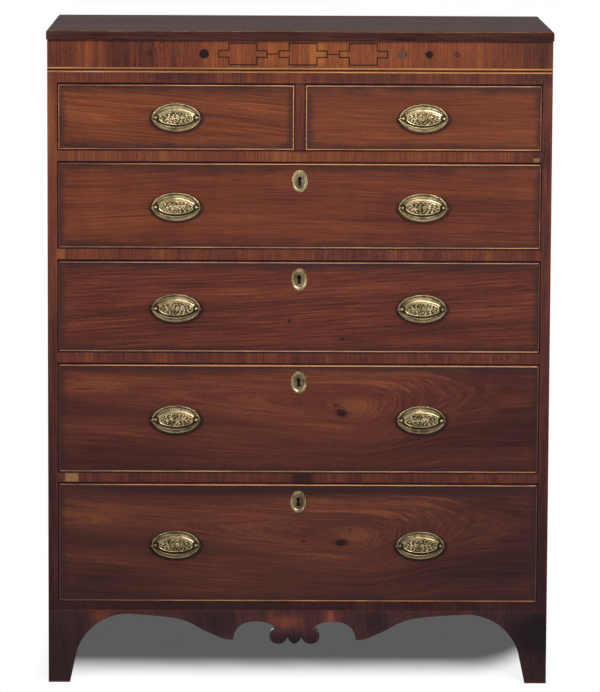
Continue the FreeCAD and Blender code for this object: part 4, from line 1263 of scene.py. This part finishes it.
@dataclass
class Drawer:
    """One drawer: its figured front, beads, box, brasses, bails and lock. Heights are in millimetres."""

    name: str
    finish: Timber
    handle_height: float
    keyhole: float | None = None
    handle_x: float = 256.25

    def handles(self) -> list[tuple[str, float]]:
        """Name of the bail and place across of each handle."""
        if self.keyhole is None:
            return [(self.name + "_bail", -self.handle_x if self.name.endswith("left") else self.handle_x)]
        return [(self.name + "_bail_left", -self.handle_x), (self.name + "_bail_right", self.handle_x)]

    def finish_with_painted_shade(self) -> Timber:
        """The front's finish, darker along the beads, with painted shadow round the brasses and painted shade in the
        keyhole.

        Returns:
            The finish.
        """
        low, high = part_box(self.name + "_front")
        height = self.handle_height * MM
        # painted shadow of each handle on the wood: a broad faint one and a tight dark rim a little below the plate
        painted_handle_shadow = tuple(spot for _, x in self.handles() for spot in (
            Spot(x * MM, height - 0.006, 0.065, 0.04, -0.12),
            Rim(x * MM + 0.0005, height - 0.003, 0.0555, 0.031, -0.55, 0.18)))
        # painted shade in the keyhole
        keyhole_shade = () if self.keyhole is None else (Rim(0.0, self.keyhole * MM, 0.0065, 0.0125, 1.0),)
        return replace(self.finish, field=(low.x, high.x, low.z, high.z), patches=self.finish.patches + painted_handle_shadow,
                       knots_and_keyhole_shade=self.finish.knots_and_keyhole_shade + keyhole_shade)

    def build(self, palette: Palette, seed: int) -> None:
        """Dress the wood and hang the brasses.

        Args:
            palette: the shared finishes.
            seed: which ornament the first plate has; the next plate has the next.
        """
        dress(self.name + "_front", self.finish_with_painted_shade().material())
        dress(self.name + "_beads", palette.bead)
        dress(self.name + "_box", palette.pine_deep)
        low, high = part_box(self.name + "_front")
        surface = Surface()
        for index, (bail, x) in enumerate(self.handles()):
            handle = Handle(x, self.handle_height, low.y / MM, high.y / MM, seed + index)
            handle.add_plate(surface)
            handle.add_rim(surface)
            handle.add_posts(surface)
            show(bail + "_crescent", handle.bail(), palette.brass, bail, bail)
        if self.keyhole is not None:
            Escutcheon(low.y / MM, self.keyhole).add(surface)
            dress(self.name + "_lock", palette.iron)
            dress(self.name + "_lock_bolt", palette.iron)
        show(self.name + "_brass_fittings", surface, palette.brass, self.name, self.name + "_brasses")


@dataclass
class Chest:
    """The tall chest with its six drawers, which have up to two plates each, every one with its own ornament."""

    plates: int = 2

    @staticmethod
    def drawers() -> list[Drawer]:
        """The drawers from the lowest up, with their finishes.

        Returns:
            The drawers.
        """
        # The fronts' tones step lighter from the lowest drawer up to the short ones: painted falloff of the light,
        # over the wood's own tones.
        plain = Timber("mahogany_third_front", Cut.FRONT_LENGTHWISE, ("2f1815", "4b251d", "5e2e23", "784229"),
                       4.1, 30.0)
        light = replace(plain, tones=("391c15", "592d1f", "6e3a23", "8b4e2e"))
        eyed = replace(plain, seed=1.7, band=20.0, contrast=0.74, wander=0.012)
        return [
            Drawer("drawer_1", replace(
                eyed, name="mahogany_lowest_front", tones=("261415", "3d211e", "502a22", "76452c"),
                eye=Eye(0.111, 0.316),
                knots_and_keyhole_shade=(Spot(0.09, 0.299, 0.0115, 0.0065, 1.5), Spot(0.098, 0.304, 0.005, 0.002, 0.8),
                       Spot(0.012, 0.302, 0.004, 0.004, 0.8), Spot(0.108, 0.327, 0.003, 0.002, 0.8)),
                patches=(Spot(0.13, 0.312, 0.05, 0.02, 0.16), Spot(-0.42, 0.355, 0.12, 0.03, 0.16),
                         Spot(0.1, 0.31, 0.16, 0.05, 0.05), Spot(0.42, 0.3, 0.14, 0.2, -0.14),
                         Spot(-0.42, 0.21, 0.12, 0.05, -0.1), Spot(-0.15, 0.34, 0.16, 0.03, 0.12),
                         Spot(0.4, 0.22, 0.12, 0.06, -0.12), Spot(0.0, 0.41, 0.4, 0.012, -0.3))),
                294.25, 386.5),
            Drawer("drawer_2", replace(
                eyed, name="mahogany_second_front", tones=("2a1515", "43211d", "562c22", "7a452b"),
                eye=Eye(0.111, 0.591),
                knots_and_keyhole_shade=(Spot(0.09, 0.574, 0.0105, 0.007, 1.5), Spot(0.084, 0.58, 0.006, 0.002, 0.8),
                       Spot(0.078, 0.59, 0.005, 0.004, 0.7), Spot(0.19, 0.633, 0.0015, 0.002, 0.8)),
                patches=(Spot(0.13, 0.587, 0.05, 0.02, 0.2), Spot(-0.43, 0.632, 0.09, 0.02, 0.18),
                         Spot(0.1, 0.59, 0.16, 0.05, 0.05), Spot(0.42, 0.55, 0.14, 0.2, -0.2),
                         Spot(-0.22, 0.61, 0.2, 0.04, 0.12), Spot(-0.3, 0.48, 0.2, 0.03, -0.12),
                         Spot(-0.45, 0.6235, 0.02, 0.001, -0.8))),
                560.0, 638.5),
            Drawer("drawer_3", replace(
                plain, slope=-0.06, contrast=0.88,
                patches=(Spot(-0.2, 0.83, 0.3, 0.02, 0.1), Spot(0.2, 0.85, 0.25, 0.02, 0.1),
                         Spot(-0.02, 0.768, 0.003, 0.004, -0.7), Spot(0.09, 0.73, 0.004, 0.003, -0.6))),
                794.25, 855.0),
            Drawer("drawer_4", replace(
                plain, name="mahogany_fourth_front", tones=("371c16", "572b1f", "6b3724", "874c2d"), seed=2.3,
                contrast=0.6, mottle=0.25,
                patches=(Spot(-0.35, 1.04, 0.2, 0.04, 0.05), Spot(0.3, 1.0, 0.3, 0.1, -0.07))),
                1006.25, 1060.5),
            Drawer("short_drawer_left", replace(
                light, name="mahogany_left_short_front", seed=5.2, band=26.0, contrast=0.78, slope=0.1,
                patches=(Spot(-0.42, 1.2, 0.1, 0.03, 0.14),)), 1192.25),
            Drawer("short_drawer_right", replace(
                light, name="mahogany_right_short_front", seed=6.4, band=22.0, contrast=0.62,
                patches=(Spot(0.15, 1.195, 0.2, 0.05, 0.12),)), 1192.25)]

    def build(self) -> None:
        """Make the case and every drawer."""
        palette = Palette()
        Case(palette).build()
        for index, drawer in enumerate(self.drawers()):
            drawer.build(palette, index * self.plates)


# ---------------------------------------------------------------- the studio

@dataclass(frozen=True)
class Lamp:
    """A soft square lamp that faces the middle of the chest: place and edge in metres, power in watts."""

    name: str
    place: tuple[float, float, float]
    size: float
    power: float
    target: tuple[float, float, float] = (0.0, 0.0, 0.7)

    def build(self) -> None:
        """Put it in the scene."""
        data = bpy.data.lights.new(self.name, "AREA")
        data.energy, data.size = self.power, self.size
        lamp = bpy.data.objects.new(self.name, data)
        bpy.context.scene.collection.objects.link(lamp)
        lamp.location = self.place
        aim = Vector(self.target) - Vector(self.place)
        lamp.rotation_euler = aim.to_track_quat("-Z", "Y").to_euler()


@dataclass
class Studio:
    """Camera, lamps, floor and surroundings."""

    frame_size: tuple[int, int] = (600, 692)
    focal_pixels: float = 4189.5
    place: tuple[float, float, float] = (-0.0667, -8.9, 1.940)
    pitch: float = 6.927
    yaw: float = -0.316
    roll: float = 0.250
    shift: tuple[float, float] = (0.0143, -0.1200)
    sensor: float = 36.0
    floor_reach: float = 30.0
    shadow_tone: str = "5a5b5a"
    lamps: tuple[Lamp, ...] = (
        Lamp("key", (1.7, -4.8, 2.9), 1.3, 205.0), Lamp("fill", (-3.4, -4.0, 1.6), 2.6, 40.0),
        Lamp("over", (0.2, -2.6, 4.4), 1.6, 45.0), Lamp("back", (-0.6, 4.4, 0.72), 1.2, 70.0))

    def set_camera(self) -> None:
        """Stand the camera: it looks down by the pitch, turns by the yaw and leans by the roll."""
        data = bpy.data.cameras.new("camera")
        camera = bpy.data.objects.new("camera", data)
        bpy.context.scene.collection.objects.link(camera)
        pitch, yaw, roll = (math.radians(angle) for angle in (self.pitch, self.yaw, self.roll))
        ahead = Vector((-math.sin(yaw) * math.cos(pitch), math.cos(yaw) * math.cos(pitch), -math.sin(pitch)))
        level = Vector((math.cos(yaw), math.sin(yaw), 0))
        right = level * math.cos(roll) + level.cross(ahead) * math.sin(roll)
        turn = Matrix((right, right.cross(ahead), -ahead)).transposed().to_4x4()
        camera.matrix_world = Matrix.Translation(Vector(self.place)) @ turn
        data.sensor_width = self.sensor
        data.lens = self.sensor * self.focal_pixels / max(self.frame_size)
        data.shift_x, data.shift_y = self.shift
        data.clip_end = 100
        bpy.context.scene.camera = camera

    @staticmethod
    def _shown(graph: Graph) -> tuple[Signal, Signal]:
        """The rays that show the surroundings: 1 for those from the camera or through glass, 1 for reflections."""
        camera, glass, gloss = (graph.node("ShaderNodeLightPath", output=kind) for kind in (
            "Is Camera Ray", "Is Transmission Ray", "Is Glossy Ray"))
        return camera.most(glass), gloss

    def set_floor(self) -> None:
        """Lay a white floor: a painted grey shadow under the case, the lit floor round it with the chest's real
        shadow, and an even glow farther out.
        """
        mesh = bpy.data.meshes.new("floor")
        corners = [(x * self.floor_reach, y * self.floor_reach, 0) for x, y in ((-1, -1), (1, -1), (1, 1), (-1, 1))]
        mesh.from_pydata(corners, [], [(0, 1, 2, 3)])
        floor = bpy.data.objects.new("floor", mesh)
        bpy.context.scene.collection.objects.link(floor)
        graph = Graph(bpy.data.materials.new("white_floor"))
        x, y, _ = graph.place()
        away = ((abs(x) - 0.53) * 18.0).most(-y * 2.0 - 0.7).most(y - 0.8).step(0.0, 0.6) * 0.14 + 0.86
        # painted shadow: grey under and behind the case, within its width, rounded at the right front corner
        corner = (x - 0.36).most(0.0)
        under = (y - corner * corner * 8.8).step(-0.22, 0.016) * y.step(0.9, 0.6) * abs(x).step(0.535, 0.505)
        lit, plain = (graph.node("ShaderNodeBsdfDiffuse", None, {"Color": colour}) for colour in (
            graph.node("ShaderNodeCombineXYZ", None, {0: 1.5, 1: 1.55, 2: 1.58}), (0.6, 0.6, 0.6, 1)))
        # the painted shadow glows grey where it lies, white elsewhere
        even = graph.node("ShaderNodeEmission", None, {"Color": graph.mix(under, "ffffff", self.shadow_tone)})
        direct = graph.node("ShaderNodeMixShader", None, {0: away.most(under), 1: lit, 2: even})
        camera, gloss = self._shown(graph)
        graph.close(graph.node("ShaderNodeMixShader", None, {0: camera.most(gloss), 1: plain, 2: direct}))
        mesh.materials.append(graph.holder)

    def set_world(self) -> None:
        """Surround the chest with even light that the camera sees as white."""
        world = bpy.data.worlds.new("surroundings")
        bpy.context.scene.world = world
        graph = Graph(world)
        _, ahead, up = graph.place()
        camera, gloss = self._shown(graph)
        level = (ahead.step(-0.1, 0.7) * 0.2 + 0.17).most(camera).most(gloss * (up.step(0.4, 0.12) * 0.7 + 0.3))
        light = graph.node("ShaderNodeBackground", None, {"Color": (1, 1, 1, 1), "Strength": level})
        graph.close(light, "ShaderNodeOutputWorld")

    def build(self) -> None:
        """Set up the whole studio."""
        bpy.context.scene.view_settings.view_transform = "Standard"
        self.set_camera()
        self.set_floor()
        self.set_world()
        for lamp in self.lamps:
            lamp.build()


def main() -> None:
    """Build the studio and the chest."""
    logging.basicConfig(level=logging.INFO, format="%(name)s %(message)s")
    Studio().build()
    Chest().build()


if __name__ == "__main__":
    main()
